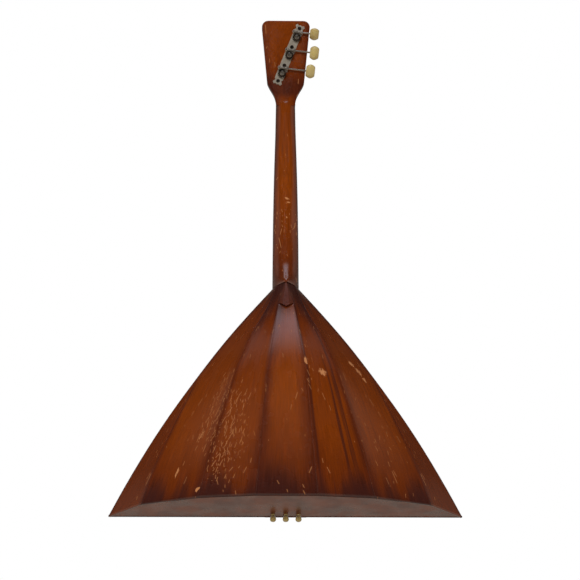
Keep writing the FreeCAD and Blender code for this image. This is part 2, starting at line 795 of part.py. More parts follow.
def plate():
    """Stamped strip with waved ends, side tabs under the worm brackets and screw holes."""
    half, long = size("plate_width") / 2, size("plate_length") / 2
    up = [(half, 0), (half, long - 8), (0.70 * half, long - 6), (1.12 * half, long - 2.5),
          (0.80 * half, long), (0.35 * half, long - 1.3), (0, long - 0.2)]
    left = [(-x, y) for x, y in reversed(up[:-1])]
    down = [(x, -y) for x, y in reversed(up + left)]
    outline = up + left + [point for point in down if point[1] != 0]
    body = new_body("tuner_plate")
    sketch = add_sketch(body, "XY_Plane")
    draw_loop(sketch, outline)
    pad(body, sketch, "Sheet.plate_thickness")
    body.Placement = PLATE_FRAME
    inverse = PLATE_FRAME.inverse()
    tabs = add_sketch(body, "XY_Plane")
    for frame in TUNERS:
        corners = []
        for x, y in ((EAR_PLACES[0] - 1.0, -0.5), (EAR_PLACES[1] + 1.0, -0.5),
                     (EAR_PLACES[1] + 1.0, 0.5), (EAR_PLACES[0] - 1.0, 0.5)):
            corner = inverse * (frame * Vector(x, WORM_AXIS_Y + y * EAR_WIDTH, 0))
            corners.append((corner.x, corner.y))
        draw_loop(tabs, corners)
    pad(body, tabs, "Sheet.plate_thickness")
    holes = add_sketch(body, "XY_Plane")
    for y in SCREW_PLACES:
        draw_circle(holes, 0, y, SCREW_RADIUS + 0.1)
    for frame in TUNERS:
        centre = inverse * (frame * Vector(0, 0, 0))
        draw_circle(holes, centre.x, centre.y, size("post_radius") + size("running_gap"))
    pocket(body, holes, 5.0, True)
    return body


plate()


def slotted(profile, head_radius, top, slot):
    """A turned screw about Z with a straight slot across its head."""
    wire = Part.makePolygon([Vector(r, 0, z) for r, z in profile + profile[:1]])
    solid = Part.Face(wire).revolve(Vector(), Vector(0, 0, 1), 360)
    groove = Part.makeBox(2.4 * head_radius, slot, slot, Vector(-1.2 * head_radius, -slot / 2,
                                                                top - slot))
    return solid.cut(groove)


screw_profile = [(0, -9.0), (0.5, -7.5), (SCREW_RADIUS, -6.5), (SCREW_RADIUS, 1.0),
                 (2.5, 1.0), (2.3, 1.8), (1.2, 2.4), (0, 2.5)]
screws = []
for index, y in enumerate(SCREW_PLACES):
    screw = slotted(screw_profile, 2.6, 2.5, 0.7)
    screw.Placement = PLATE_FRAME * Placement(Vector(0, y, 0),
                                              Rotation(Vector(0, 0, 1), 35 + 50 * index))
    screws.append(screw)
shaped("plate_screws", Part.makeCompound(screws))


def ear(frame, x):
    """One upright ear of a worm bracket, with the bore that the shaft turns in."""
    high = WORM_HEIGHT + 3.0
    upright = Part.makeBox(EAR_THICKNESS, EAR_WIDTH, high,
                           Vector(x - EAR_THICKNESS / 2, WORM_AXIS_Y - EAR_WIDTH / 2, 0))
    bore = Part.makeCylinder(size("shaft_radius") + size("running_gap"), 4 * EAR_THICKNESS,
                             Vector(x - 2 * EAR_THICKNESS, WORM_AXIS_Y, WORM_HEIGHT),
                             Vector(1, 0, 0))
    rounded = Part.makeCylinder(EAR_WIDTH / 2, EAR_THICKNESS,
                                Vector(x - EAR_THICKNESS / 2, WORM_AXIS_Y, high - EAR_WIDTH / 2),
                                Vector(1, 0, 0))
    lower = Part.makeBox(EAR_THICKNESS, EAR_WIDTH, high - EAR_WIDTH / 2,
                         Vector(x - EAR_THICKNESS / 2, WORM_AXIS_Y - EAR_WIDTH / 2, 0))
    solid = upright.common(rounded.fuse(lower)).cut(bore)
    solid.Placement = frame
    return solid


shaped("worm_brackets",
       Part.makeCompound([ear(frame, x) for frame in TUNERS for x in EAR_PLACES]))

FERRULE_HEIGHT = 1.2
front_face = -HEAD_DEPTH - size("veneer_thickness")
ferrules = []
for frame in TUNERS:
    outer = Part.makeCylinder(5.0, FERRULE_HEIGHT, Vector(0, 0, front_face - FERRULE_HEIGHT))
    inner = Part.makeCylinder(size("post_radius") + size("running_gap"), 10,
                              Vector(0, 0, front_face - 5))
    collar = outer.cut(inner)
    collar.Placement = frame
    ferrules.append(collar)
shaped("post_ferrules", Part.makeCompound(ferrules))

GEAR_BASE = WORM_HEIGHT - size("gear_thickness") / 2
GEAR_TOP = GEAR_BASE + size("gear_thickness")
BOSS_RADIUS = 2.2
SCREW_SHANK = 1.0
WORM_PITCH = 2.34
POST_REACH = 13.0
WINDING_TURNS = 4
WINDING_PLACE = 5.5


def gear(label, frame):
    """A disc with straight tooth gaps cut round its edge."""
    body = new_body(label)
    sketch = add_sketch(body, "XY_Plane", GEAR_BASE)
    draw_circle(sketch, 0, 0, "Sheet.gear_radius")
    draw_circle(sketch, 0, 0, BOSS_RADIUS)
    pad(body, sketch, "Sheet.gear_thickness")
    teeth = size("gear_teeth")
    outer = size("gear_radius")
    root = outer - 1.2
    gap_angle = math.pi / teeth
    cut = add_sketch(body, "XY_Plane", GEAR_BASE)
    corners = []
    for radius, half in ((outer + 0.4, 0.95), (root, 0.45)):
        corners.append((radius, half))
    (far, far_half), (near, near_half) = corners
    points = [(far, -far_half), (far, far_half), (near, near_half), (near, -near_half)]
    turned_points = [
        (x * math.cos(math.pi / 2 + gap_angle) - y * math.sin(math.pi / 2 + gap_angle),
         x * math.sin(math.pi / 2 + gap_angle) + y * math.cos(math.pi / 2 + gap_angle))
        for x, y in points
    ]
    draw_loop(cut, turned_points)
    gap = pocket(body, cut, "Sheet.gear_thickness", True)
    pattern = body.newObject("PartDesign::PolarPattern", label + "_teeth")
    pattern.Originals = [gap]
    axis = next(f for f in body.Origin.OriginFeatures if f.Role == "Z_Axis")
    pattern.Axis = (axis, [""])
    pattern.Angle = 360
    pattern.setExpression("Occurrences", "Sheet.gear_teeth")
    body.Tip = pattern
    body.Placement = frame
    return body


def worm_shaft(label, frame, reach):
    """Shaft from the far ear to the knob, with the worm's thread between the ears."""
    shaft = size("shaft_radius")
    start = EAR_PLACES[0] - EAR_THICKNESS / 2 - 1.0
    profile = [(0, start), (shaft, start), (shaft, reach), (0, reach)]
    worm = turned(label, profile)
    thread = add_sketch(worm, "XZ_Plane")
    first = -1.5 * WORM_PITCH
    draw_loop(thread, [(shaft - 0.15, first - 0.42), (size("worm_radius"), first - 0.24),
                       (size("worm_radius"), first + 0.24), (shaft - 0.15, first + 0.42)])
    helix = worm.newObject("PartDesign::AdditiveHelix", label + "_thread")
    helix.Profile = thread
    axis = next(f for f in worm.Origin.OriginFeatures if f.Role == "Z_Axis")
    helix.ReferenceAxis = (axis, [""])
    helix.Mode = 0
    helix.Pitch = WORM_PITCH
    helix.Height = 3 * WORM_PITCH
    doc.recompute()
    axes = Rotation(Vector(0, -1, 0), Vector(0, 0, -1), Vector(1, 0, 0), "ZYX")
    worm.Placement = frame * Placement(Vector(0, WORM_AXIS_Y, WORM_HEIGHT), axes)
    return worm


def string_post(label, frame):
    """Turned post: flange on the plate, boss in the gear, a waist for the string in front."""
    radius = size("post_radius")
    end = front_face - POST_REACH
    profile = [
        (SCREW_SHANK, -5.0), (SCREW_SHANK, GEAR_TOP), (BOSS_RADIUS, GEAR_TOP),
        (BOSS_RADIUS, GEAR_BASE), (4.0, GEAR_BASE), (4.0, 0.15), (radius, 0.15),
        (radius, end + 1.0), (radius - 0.8, end), (0, end), (0, -5.0),
    ]
    return turned(label, profile, frame)


def gear_screw(label, frame):
    profile = [(0, -4.8), (SCREW_SHANK, -4.8), (SCREW_SHANK, GEAR_TOP), (3.1, GEAR_TOP),
               (3.1, GEAR_TOP + 1.0), (2.5, GEAR_TOP + 1.6), (0, GEAR_TOP + 1.8)]
    return shaped(label, slotted(profile, 3.1, GEAR_TOP + 1.8, 0.8), frame)


def winding(label, frame):
    """Turns of string side by side round the post, as one ribbed sleeve."""
    radius = size("post_radius")
    wire = size("string_radius")
    low = front_face - WINDING_PLACE - WINDING_TURNS * 2 * wire
    profile = [(radius, low)]
    for turn in range(WINDING_TURNS):
        base = low + turn * 2 * wire
        profile += [(radius + wire, base), (radius + 2 * wire, base + 0.5 * wire),
                    (radius + 2 * wire, base + 1.5 * wire)]
    top = low + WINDING_TURNS * 2 * wire
    profile += [(radius + wire, top), (radius, top)]
    return turned(label, profile, frame)


def knob(label, frame, reach, turn):
    """Oval barrel with flat ends, bored for the shaft."""
    barrel = doc.addObject("Part::Ellipsoid", label + "_barrel")
    barrel.setExpression("Radius1", "Sheet.knob_length * 0.72")
    barrel.setExpression("Radius2", "Sheet.knob_height / 2")
    barrel.setExpression("Radius3", "Sheet.knob_width / 2")
    ends = doc.addObject("Part::Cylinder", label + "_ends")
    ends.Radius = 20
    ends.setExpression("Height", "Sheet.knob_length")
    ends.Placement = Placement(Vector(0, 0, -size("knob_length") / 2), Rotation())
    oval = doc.addObject("Part::Common", label + "_oval")
    oval.Base = barrel
    oval.Tool = ends
    bore = doc.addObject("Part::Cylinder", label + "_bore")
    bore.setExpression("Radius", "Sheet.shaft_radius")
    bore.Height = KNOB_GRIP
    bore.Placement = Placement(Vector(0, 0, -size("knob_length") / 2), Rotation())
    piece = doc.addObject("Part::Cut", label)
    piece.Label = label
    piece.Base = oval
    piece.Tool = bore
    centre = Vector(reach + size("knob_length") / 2, WORM_AXIS_Y, WORM_HEIGHT)
    axes = Rotation(Vector(0, 1, 0), Vector(0, 0, -1), Vector(1, 0, 0), "ZXY")
    spin = Rotation(Vector(0, 0, 1), turn)
    piece.Placement = frame * Placement(centre, Rotation(Vector(0, 1, 0), 90) * spin)
    return piece


KNOB_GRIP = 9.0
KNOB_REACH = (16.6, 26.4, 30.8)
KNOB_TURN = (148.0, 90.0, 115.0)
for index, frame in enumerate(TUNERS):
    name = "_%d" % (index + 1)
    knob("knob" + name, frame, KNOB_REACH[index], KNOB_TURN[index])
    worm_shaft("worm_shaft" + name, frame, KNOB_REACH[index] + KNOB_GRIP)
    gear("gear" + name, frame)
    gear_screw("gear_screw" + name, frame)
    string_post("string_post" + name, frame)
    winding("string_winding" + name, frame)


# ---------------------------------------------------------------- strings
def string_path(index):
    """From the pin, over tail saddle, bridge and nut, to the side of its post."""
    wire = size("string_radius")
    clear = wire + 0.04
    pin = PIN_PLACES[index]
    spread = (index - 1) * size("string_spacing")
    frame = TUNERS[index]
    radius = size("post_radius") + 3 * wire + 0.08
    height = front_face - WINDING_PLACE - wire
    end = frame * Vector(-radius, 0, height)
    neck_radius = 0.60 * pin_radius
    loop = tail_point(pin, PIN_HEIGHT) + Vector(0, 0, -2.6)
    return [
        Vector(pin + neck_radius + wire, loop.y, loop.z),
        Vector(pin + neck_radius + wire, -0.4, TAIL_Z - clear),
        Vector(pin + 2.0, -TAIL_SADDLE_HEIGHT - clear, TAIL_Z - clear),
        Vector(spread, -size("bridge_height") - clear, BRIDGE_Z),
        Vector(spread * 0.9, NUT_TOP - clear, 1.0),
        end,
    ]


def string(label, points, centre):
    """Straight runs joined by round corners, with an eye round the pin's neck."""
    wire = size("string_radius")
    solid = None
    for start, end in zip(points, points[1:]):
        run = end - start
        piece = Part.makeCylinder(wire, run.Length, start, run)
        solid = piece if solid is None else solid.fuse(piece)
    for corner in points[1:-1]:
        solid = solid.fuse(Part.makeSphere(wire, corner))
    eye = Part.makeTorus(0.60 * pin_radius + wire + 0.02, wire)
    eye.Placement = Placement(centre, PIN_TILT)
    return shaped(label, solid.fuse(eye))


for index in range(3):
    route = string_path(index)
    outward = Vector(0, math.sin(SLANT), -math.cos(SLANT))
    centre = tail_point(PIN_PLACES[index], PIN_HEIGHT) + outward * 2.6
    string("string_%d" % (index + 1), route, centre)


# ---------------------------------------------------------------- checks and files
doc.recompute()
HELPERS = ("_barrel", "_ends", "_oval", "_bore")
pieces = [o for o in doc.Objects
          if (o.TypeId == "PartDesign::Body" or o.TypeId.startswith("Part::"))
          and not o.Label.endswith(HELPERS)]
for item in doc.Objects:
    if "Invalid" in item.State or "Error" in item.State:
        raise RuntimeError("%s has failed" % item.Label)
for piece in pieces:
    if piece.Shape.isNull() or not piece.Shape.isValid() or piece.Shape.Volume <= 0:
        raise RuntimeError("%s has no sound solid" % piece.Label)
os.makedirs("parts", exist_ok=True)
for piece in pieces:
    piece.Shape.exportStep("parts/%s.step" % piece.Label)
print(len(pieces), "pieces written")
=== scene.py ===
"""A prima balalaika, dressed for the workshop's catalogue.

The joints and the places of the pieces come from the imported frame, and so do the sizes that
the lines of the body are scaled by. This add-on gives each piece its finished surface:
rounded staves with a sunburst varnish, a carved neck and head, turned pegs, worn knobs, and
the metal of the tuning machine.
"""
import json
import math

import bmesh
import bpy
import numpy as np
from bpy.props import FloatProperty, FloatVectorProperty, IntProperty, PointerProperty
from mathutils import Matrix, Vector


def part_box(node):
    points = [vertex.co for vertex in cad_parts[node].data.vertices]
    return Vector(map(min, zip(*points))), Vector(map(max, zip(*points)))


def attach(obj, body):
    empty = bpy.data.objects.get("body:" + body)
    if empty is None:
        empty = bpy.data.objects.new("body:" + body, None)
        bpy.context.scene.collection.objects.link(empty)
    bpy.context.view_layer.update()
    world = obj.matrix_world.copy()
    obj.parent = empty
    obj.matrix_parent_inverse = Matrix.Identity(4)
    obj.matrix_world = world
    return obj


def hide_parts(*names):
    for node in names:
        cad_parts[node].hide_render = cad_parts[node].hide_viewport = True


bl_info = {
    "name": "Balalaika Finish",
    "version": (1, 0, 0),
    "blender": (4, 5, 0),
    "location": "3D View > Sidebar > Balalaika",
    "description": "Surfaces, varnish and fittings of a prima balalaika",
    "category": "Add Mesh",
}

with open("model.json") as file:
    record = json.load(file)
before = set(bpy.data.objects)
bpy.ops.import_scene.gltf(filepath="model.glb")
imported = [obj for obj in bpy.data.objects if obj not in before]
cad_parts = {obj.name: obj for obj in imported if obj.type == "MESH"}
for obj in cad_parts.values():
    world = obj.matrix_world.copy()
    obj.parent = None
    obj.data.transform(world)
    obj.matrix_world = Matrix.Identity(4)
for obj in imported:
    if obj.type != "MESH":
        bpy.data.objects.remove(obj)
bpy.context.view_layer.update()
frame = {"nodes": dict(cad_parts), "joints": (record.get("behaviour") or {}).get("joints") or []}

MM = 0.001
SIDES = (("left", -1), ("right", 1))


def node_box(name):
    low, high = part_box(name)
    return Vector(low), Vector(high)


# The lengths that the body's lines are scaled by, from the frame's own solids.
_, BOARD_HIGH = node_box("soundboard")
TAIL_LOW, TAIL_HIGH = node_box("binding_tail")
JOINT_Z = BOARD_HIGH.z
TAIL_Z = TAIL_LOW.z
BODY_LENGTH = JOINT_Z - TAIL_Z
HALF_WIDTH = TAIL_HIGH.x
BOARD_BACK = BOARD_HIGH.y
BODY_DEPTH = 78 * MM
TAIL_SLANT = math.radians(11.0)
TAIL_SLOPE = math.tan(TAIL_SLANT)
NUT_HALF_WIDTH = 12.7 * MM
JOINT_HALF_WIDTH = 17 * MM
FLOOR_Z = -1.3


class BodySizes(bpy.types.PropertyGroup):
    stave_thickness: FloatProperty(
        name="Stave thickness", description="Thickness of the bent staves",
        default=2.3 * MM, unit="LENGTH")
    ridge_softness: FloatProperty(
        name="Ridge softness", description="How far the ridges between staves are rounded over",
        default=1.4 * MM, unit="LENGTH")
    ridge_dip: FloatProperty(
        name="Ridge dip", description="How much lower a stave's edge lies than its face",
        default=0.35 * MM, unit="LENGTH")
    edge_softness: FloatProperty(
        name="Edge softness", description="Radius of the rounded edges of small pieces",
        default=0.35 * MM, unit="LENGTH")
    fret_width: FloatProperty(
        name="Fret width", description="Width of the fret crowns",
        default=1.6 * MM, unit="LENGTH")
    fret_count: IntProperty(
        name="Frets", description="Number of frets", default=19)
    scale_length: FloatProperty(
        name="String length", description="Sounding length from nut to bridge",
        default=435 * MM, unit="LENGTH")


def colour(name, description, value):
    return FloatVectorProperty(name=name, description=description, size=4, subtype="COLOR",
                               min=0.0, max=1.0, default=value + (1.0,))


class FinishColours(bpy.types.PropertyGroup):
    amber: colour("Amber", "Varnish where the sunburst is lightest", (0.30, 0.055, 0.0016))
    russet: colour("Russet", "Varnish over most of the body", (0.158, 0.025, 0.0035))
    shade: colour("Shade", "Varnish at the dark edges of the sunburst", (0.064, 0.0135, 0.0085))
    bare: colour("Bare wood", "Wood that shows through scratches", (0.62, 0.25, 0.09))
    spruce: colour("Spruce", "Varnished soundboard", (0.52, 0.30, 0.12))
    raw_spruce: colour("Raw spruce", "Unvarnished wood inside the body", (0.55, 0.38, 0.22))
    dark_wood: colour("Dark wood", "Fingerboard, bridge and head veneer", (0.040, 0.018, 0.011))
    ivory: colour("Ivory plastic", "Knobs and pegs", (0.68, 0.53, 0.22))
    aged_ivory: colour("Aged ivory", "Yellowed patches of the plastic", (0.56, 0.41, 0.14))
    bone: colour("Bone", "Nut and saddle", (0.70, 0.63, 0.48))
    nickel: colour("Nickel", "Worn plating of the tuner plate", (0.58, 0.52, 0.43))
    tarnish: colour("Tarnish", "Dull patches where the plating has worn", (0.34, 0.29, 0.225))
    gunmetal: colour("Gunmetal", "Greasy gears and screws", (0.09, 0.075, 0.065))
    brass: colour("Brass", "Fret wire", (0.66, 0.50, 0.24))
    string: colour("String", "Plain steel strings", (0.60, 0.58, 0.54))
    celluloid: colour("Celluloid", "Pickguard and rosette", (0.012, 0.010, 0.010))


def sizes():
    return bpy.context.scene.balalaika_sizes


def colours():
    return bpy.context.scene.balalaika_colours


# ---------------------------------------------------------------- mesh helpers
def make_object(name, bm):
    """Turn a bmesh into a smooth object at the origin and free the bmesh."""
    mesh = bpy.data.meshes.new(name)
    bm.to_mesh(mesh)
    bm.free()
    piece = bpy.data.objects.new(name, mesh)
    bpy.context.collection.objects.link(piece)
    for face in mesh.polygons:
        face.use_smooth = True
    return piece


def tidy_normals(bm):
    bmesh.ops.remove_doubles(bm, verts=bm.verts, dist=1e-6)
    bmesh.ops.recalc_face_normals(bm, faces=bm.faces)


def face_the_back(bm):
    """Turn an open sheet's faces so that they look to the back of the instrument."""
    bmesh.ops.recalc_face_normals(bm, faces=bm.faces)
    if sum(face.normal.y * face.calc_area() for face in bm.faces) < 0:
        bmesh.ops.reverse_faces(bm, faces=bm.faces)


def thicken(piece, name, thickness):
    """Give a sheet its thickness, inwards from its outer face."""
    wall = piece.modifiers.new(name, "SOLIDIFY")
    wall.thickness = thickness
    wall.offset = -1.0


def smooth_by_angle(piece, degrees=35.0):
    """Keep edges sharper than the angle crisp on a smooth piece."""
    mesh = piece.data
    for face in mesh.polygons:
        face.use_smooth = True
    bm = bmesh.new()
    bm.from_mesh(mesh)
    limit = math.radians(degrees)
    for edge in bm.edges:
        sharp = len(edge.link_faces) == 2 and edge.calc_face_angle(0.0) > limit
        edge.smooth = not sharp
    bm.to_mesh(mesh)
    bm.free()


def finish_piece(piece, material, slot, body, *nodes):
    """Give a piece its material and its place in the frame."""
    piece.data.materials.clear()
    piece.data.materials.append(material)
    if nodes:
        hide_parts(*nodes)
    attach(piece, body)
    return piece


def softened(node, material, slot, body, width=None, name=None, dissolve=True):
    """A CAD piece copied, its doubles merged and its edges rounded, to stand for the node."""
    source = frame["nodes"][node]
    bm = bmesh.new()
    bm.from_mesh(source.data)
    bm.transform(source.matrix_world)
    bmesh.ops.remove_doubles(bm, verts=bm.verts, dist=1e-6)
    if dissolve:
        flat = math.radians(1.0)
        bmesh.ops.dissolve_limit(bm, angle_limit=flat, verts=bm.verts, edges=bm.edges)
    piece = make_object(name or node + "_finished", bm)
    bevel = piece.modifiers.new("rounded edges", "BEVEL")
    bevel.width = sizes().edge_softness if width is None else width
    bevel.segments = 2
    bevel.limit_method = "ANGLE"
    bevel.angle_limit = math.radians(32.0)
    bevel.harden_normals = True
    triangles = piece.modifiers.new("triangles", "TRIANGULATE")
    triangles.keep_custom_normals = True
    return finish_piece(piece, material, slot, body, node)


def lathe(name, profile, place, steps=48):
    """Turn (radius, height) points about Z, then carry them to their place."""
    bm = bmesh.new()
    rings = []
    for radius, height in profile:
        if radius < 1e-7:
            rings.append([bm.verts.new((0, 0, height))])
            continue
        turn = [2 * math.pi * i / steps for i in range(steps)]
        rings.append([bm.verts.new((radius * math.cos(a), radius * math.sin(a), height))
                      for a in turn])
    for low, high in zip(rings, rings[1:]):
        for i in range(steps):
            j = (i + 1) % steps
            if len(low) == 1:
                bm.faces.new((low[0], high[i], high[j]))
            elif len(high) == 1:
                bm.faces.new((low[i], low[j], high[0]))
            else:
                bm.faces.new((low[i], low[j], high[j], high[i]))
    tidy_normals(bm)
    bm.transform(place)
    return make_object(name, bm)


def natural_spline(points):
    """A function that gives the natural cubic through the points, by their station number."""
    points = np.array(points, dtype=float)
    steps = np.linalg.norm(np.diff(points, axis=0), axis=1)
    knots = np.concatenate(([0.0], np.cumsum(steps)))
    count = len(points)
    system = np.eye(count)
    right = np.zeros_like(points)
    for i in range(1, count - 1):
        before, after = steps[i - 1], steps[i]
        system[i, i - 1:i + 2] = (before, 2 * (before + after), after)
        right[i] = 6 * ((points[i + 1] - points[i]) / after - (points[i] - points[i - 1]) / before)
    bends = np.linalg.solve(system, right)

    def at(station):
        place = np.interp(station, range(count), knots)
        i = min(int(np.searchsorted(knots, place, side="right")) - 1, count - 2)
        i = max(i, 0)
        step = steps[i]
        a = (knots[i + 1] - place) / step
        b = (place - knots[i]) / step
        curve = a * points[i] + b * points[i + 1]
        curve += ((a ** 3 - a) * bends[i] + (b ** 3 - b) * bends[i + 1]) * step * step / 6
        return curve

    return at


# ---------------------------------------------------------------- shader building blocks
def feed(tree, socket, value):
    """Link a socket to another, or set its plain value."""
    if isinstance(value, bpy.types.NodeSocket):
        tree.links.new(value, socket)
    elif value is not None:
        socket.default_value = value


def add(tree, kind, inputs=None, **settings):
    node = tree.nodes.new(kind)
    for name, value in settings.items():
        setattr(node, name, value)
    for name, value in (inputs or {}).items():
        feed(tree, node.inputs[name], value)
    return node


def calc(tree, operation, a, b=None, c=None):
    node = add(tree, "ShaderNodeMath", operation=operation)
    for socket, value in zip(node.inputs, (a, b, c)):
        feed(tree, socket, value)
    return node.outputs[0]


def scaled(tree, vector, factors, shift=(0, 0, 0)):
    inputs = {"Vector": vector, "Scale": factors, "Location": shift}
    return add(tree, "ShaderNodeMapping", inputs).outputs[0]


def graded(tree, value, low, high, to_low=0.0, to_high=1.0):
    """A smooth step from one value to another."""
    inputs = {"Value": value, "From Min": low, "From Max": high,
              "To Min": to_low, "To Max": to_high}
    return add(tree, "ShaderNodeMapRange", inputs, interpolation_type="SMOOTHSTEP").outputs[0]


def mixed(tree, factor, a, b, mode="MIX"):
    node = add(tree, "ShaderNodeMix", data_type="RGBA", blend_type=mode)
    for name, value in (("Factor_Float", factor), ("A_Color", a), ("B_Color", b)):
        socket = next(s for s in node.inputs if s.identifier == name)
        feed(tree, socket, value)
    return next(s for s in node.outputs if s.identifier == "Result_Color")


def noise(tree, vector, scale, detail=2.0, roughness=0.5):
    inputs = {"Vector": vector, "Scale": scale, "Detail": detail, "Roughness": roughness}
    return add(tree, "ShaderNodeTexNoise", inputs).outputs["Fac"]


def parts_of(tree, vector):
    node = add(tree, "ShaderNodeSeparateXYZ", {"Vector": vector})
    return node.outputs[0], node.outputs[1], node.outputs[2]


def joined(tree, x, y, z):
    return add(tree, "ShaderNodeCombineXYZ", {"X": x, "Y": y, "Z": z}).outputs[0]


SOCKETS = {"float": "NodeSocketFloat", "colour": "NodeSocketColor", "vector": "NodeSocketVector"}


def start_group(name, inputs, outputs):
    """A shader node group with named inputs (kind, name, default) and outputs (kind, name)."""
    tree = bpy.data.node_groups.new(name, "ShaderNodeTree")
    for kind, label, default in inputs:
        socket = tree.interface.new_socket(label, in_out="INPUT", socket_type=SOCKETS[kind])
        if default is not None:
            socket.default_value = default
    for kind, label in outputs:
        tree.interface.new_socket(label, in_out="OUTPUT", socket_type=SOCKETS[kind])
    source = tree.nodes.new("NodeGroupInput").outputs
    target = tree.nodes.new("NodeGroupOutput").inputs
    return tree, source, target


def use_group(tree, group, **inputs):
    node = tree.nodes.new("ShaderNodeGroup")
    node.node_tree = bpy.data.node_groups[group]
    for name, value in inputs.items():
        feed(tree, node.inputs[name.replace("_", " ")], value)
    return node.outputs


def build_grain_group():
    """Streaks, pores and broad figure of wood whose grain runs along Z."""
    tree, source, target = start_group(
        "Wood Grain",
        [("vector", "Vector", None), ("float", "Fibres per metre", 900.0),
         ("float", "Figure per metre", 30.0), ("float", "Wander", 0.4)],
        [("float", "Fibre"), ("float", "Figure"), ("float", "Pores"), ("float", "Height")])
    vector = source["Vector"]
    bend = noise(tree, scaled(tree, vector, (1, 1, 0.35)), source["Figure per metre"], 3.0)
    x, y, z = parts_of(tree, vector)
    sway = calc(tree, "MULTIPLY", calc(tree, "SUBTRACT", bend, 0.5), source["Wander"])
    x = calc(tree, "MULTIPLY_ADD", sway, 0.012, x)
    grown = joined(tree, x, y, calc(tree, "MULTIPLY", z, 0.03))
    fibre = noise(tree, grown, source["Fibres per metre"], 4.0, 0.62)
    figure = noise(tree, scaled(tree, grown, (1, 1, 4.0)), source["Figure per metre"], 3.0, 0.55)
    fine = calc(tree, "MULTIPLY", source["Fibres per metre"], 2.6)
    pores = graded(tree, noise(tree, grown, fine, 2.0), 0.60, 0.70)
    feed(tree, target["Fibre"], graded(tree, fibre, 0.28, 0.72))
    feed(tree, target["Figure"], graded(tree, figure, 0.30, 0.70))
    feed(tree, target["Pores"], pores)
    feed(tree, target["Height"], calc(tree, "MULTIPLY_ADD", pores, -0.6, fibre))


def build_sunburst_group():
    """Sprayed varnish: light in the middle of a surface, darker to its edges and ends."""
    tree, source, target = start_group(
        "Sunburst",
        [("float", "Across", 0.5), ("float", "Along", 0.5),
         ("colour", "Light", (0.23, 0.06, 0.01, 1)), ("colour", "Middle", (0.12, 0.03, 0.01, 1)),
         ("colour", "Dark", (0.04, 0.01, 0.006, 1)), ("float", "Edge reach", 0.22),
         ("float", "Start", 0.0), ("float", "Peak", 0.4), ("float", "End", 1.0),
         ("float", "Cloud", 0.5), ("float", "Strength", 1.0)],
        [("colour", "Colour")])
    across, along = source["Across"], source["Along"]
    inward = calc(tree, "MINIMUM", across, calc(tree, "SUBTRACT", 1.0, across))
    cloudy = calc(tree, "MULTIPLY", calc(tree, "SUBTRACT", source["Cloud"], 0.5), 0.12)
    edge = graded(tree, calc(tree, "ADD", inward, cloudy), -0.02, source["Edge reach"])
    place = calc(tree, "ADD", along, cloudy)
    rise = graded(tree, place, source["Start"], source["Peak"])
    fall = graded(tree, place, source["Peak"], source["End"], 1.0, 0.0)
    length = calc(tree, "MULTIPLY", rise, fall)
    glow = calc(tree, "MULTIPLY", calc(tree, "MULTIPLY", edge, length), source["Strength"])
    body = calc(tree, "MULTIPLY_ADD", edge, 0.35, 0.65)
    body = calc(tree, "MULTIPLY", body, graded(tree, length, 0.0, 0.35))
    middle = mixed(tree, body, source["Dark"], source["Middle"])
    feed(tree, target["Colour"], mixed(tree, glow, middle, source["Light"]))


def build_scratch_group():
    """Short straight scratches: one per cell at most, at an angle of its own."""
    tree, source, target = start_group(
        "Scratches",
        [("vector", "Vector", None), ("float", "Per metre", 120.0), ("float", "Share", 0.4),
         ("float", "Thickness", 0.02), ("float", "Reach", 0.45),
         ("float", "Lean", 0.6), ("float", "Spread", 1.2)],
        [("float", "Mask")])
    vector = source["Vector"]
    wavy = noise(tree, vector, calc(tree, "MULTIPLY", source["Per metre"], 0.5), 1.0)
    cells = add(tree, "ShaderNodeTexVoronoi",
                {"Vector": vector, "Scale": source["Per metre"], "Randomness": 1.0},
                voronoi_dimensions="3D")
    offset = add(tree, "ShaderNodeVectorMath", {0: vector, 1: cells.outputs["Position"]},
                 operation="SUBTRACT").outputs[0]
    local = add(tree, "ShaderNodeVectorMath", {0: offset, "Scale": source["Per metre"]},
                operation="SCALE").outputs[0]
    chance = add(tree, "ShaderNodeSeparateColor", {"Color": cells.outputs["Color"]}).outputs
    turn = calc(tree, "SUBTRACT", chance["Red"], 0.5)
    turn = calc(tree, "MULTIPLY_ADD", turn, source["Spread"], source["Lean"])
    local = add(tree, "ShaderNodeVectorRotate", {"Vector": local, "Angle": turn},
                rotation_type="Y_AXIS").outputs[0]
    x, _, z = parts_of(tree, local)
    x = calc(tree, "MULTIPLY_ADD", calc(tree, "SUBTRACT", wavy, 0.5), 0.10, x)
    line = graded(tree, calc(tree, "ABSOLUTE", x), 0.0, source["Thickness"], 1.0, 0.0)
    reach = calc(tree, "MULTIPLY", source["Reach"], chance["Blue"])
    end = graded(tree, calc(tree, "ABSOLUTE", z), calc(tree, "MULTIPLY", reach, 0.7), reach,
                 1.0, 0.0)
    there = calc(tree, "LESS_THAN", chance["Green"], source["Share"])
    mask = calc(tree, "MULTIPLY", calc(tree, "MULTIPLY", line, end), there)
    feed(tree, target["Mask"], mask)


def build_wear_group():
    """Patches that break up where hands and cases have rubbed; Edge is 1 on a worn edge."""
    tree, source, target = start_group(
        "Edge Wear",
        [("vector", "Vector", None), ("float", "Edge", 0.0), ("float", "Per metre", 160.0),
         ("float", "Amount", 0.5)],
        [("float", "Mask"), ("float", "Smudge")])
    fine = noise(tree, source["Vector"], source["Per metre"], 5.0, 0.65)
    broad = noise(tree, source["Vector"], calc(tree, "MULTIPLY", source["Per metre"], 0.12), 3.0)
    level = calc(tree, "MULTIPLY_ADD", source["Edge"], source["Amount"], fine)
    level = calc(tree, "MULTIPLY_ADD", broad, 0.35, level)
    feed(tree, target["Mask"], graded(tree, level, 1.18, 1.26))
    feed(tree, target["Smudge"], graded(tree, broad, 0.3, 0.7))


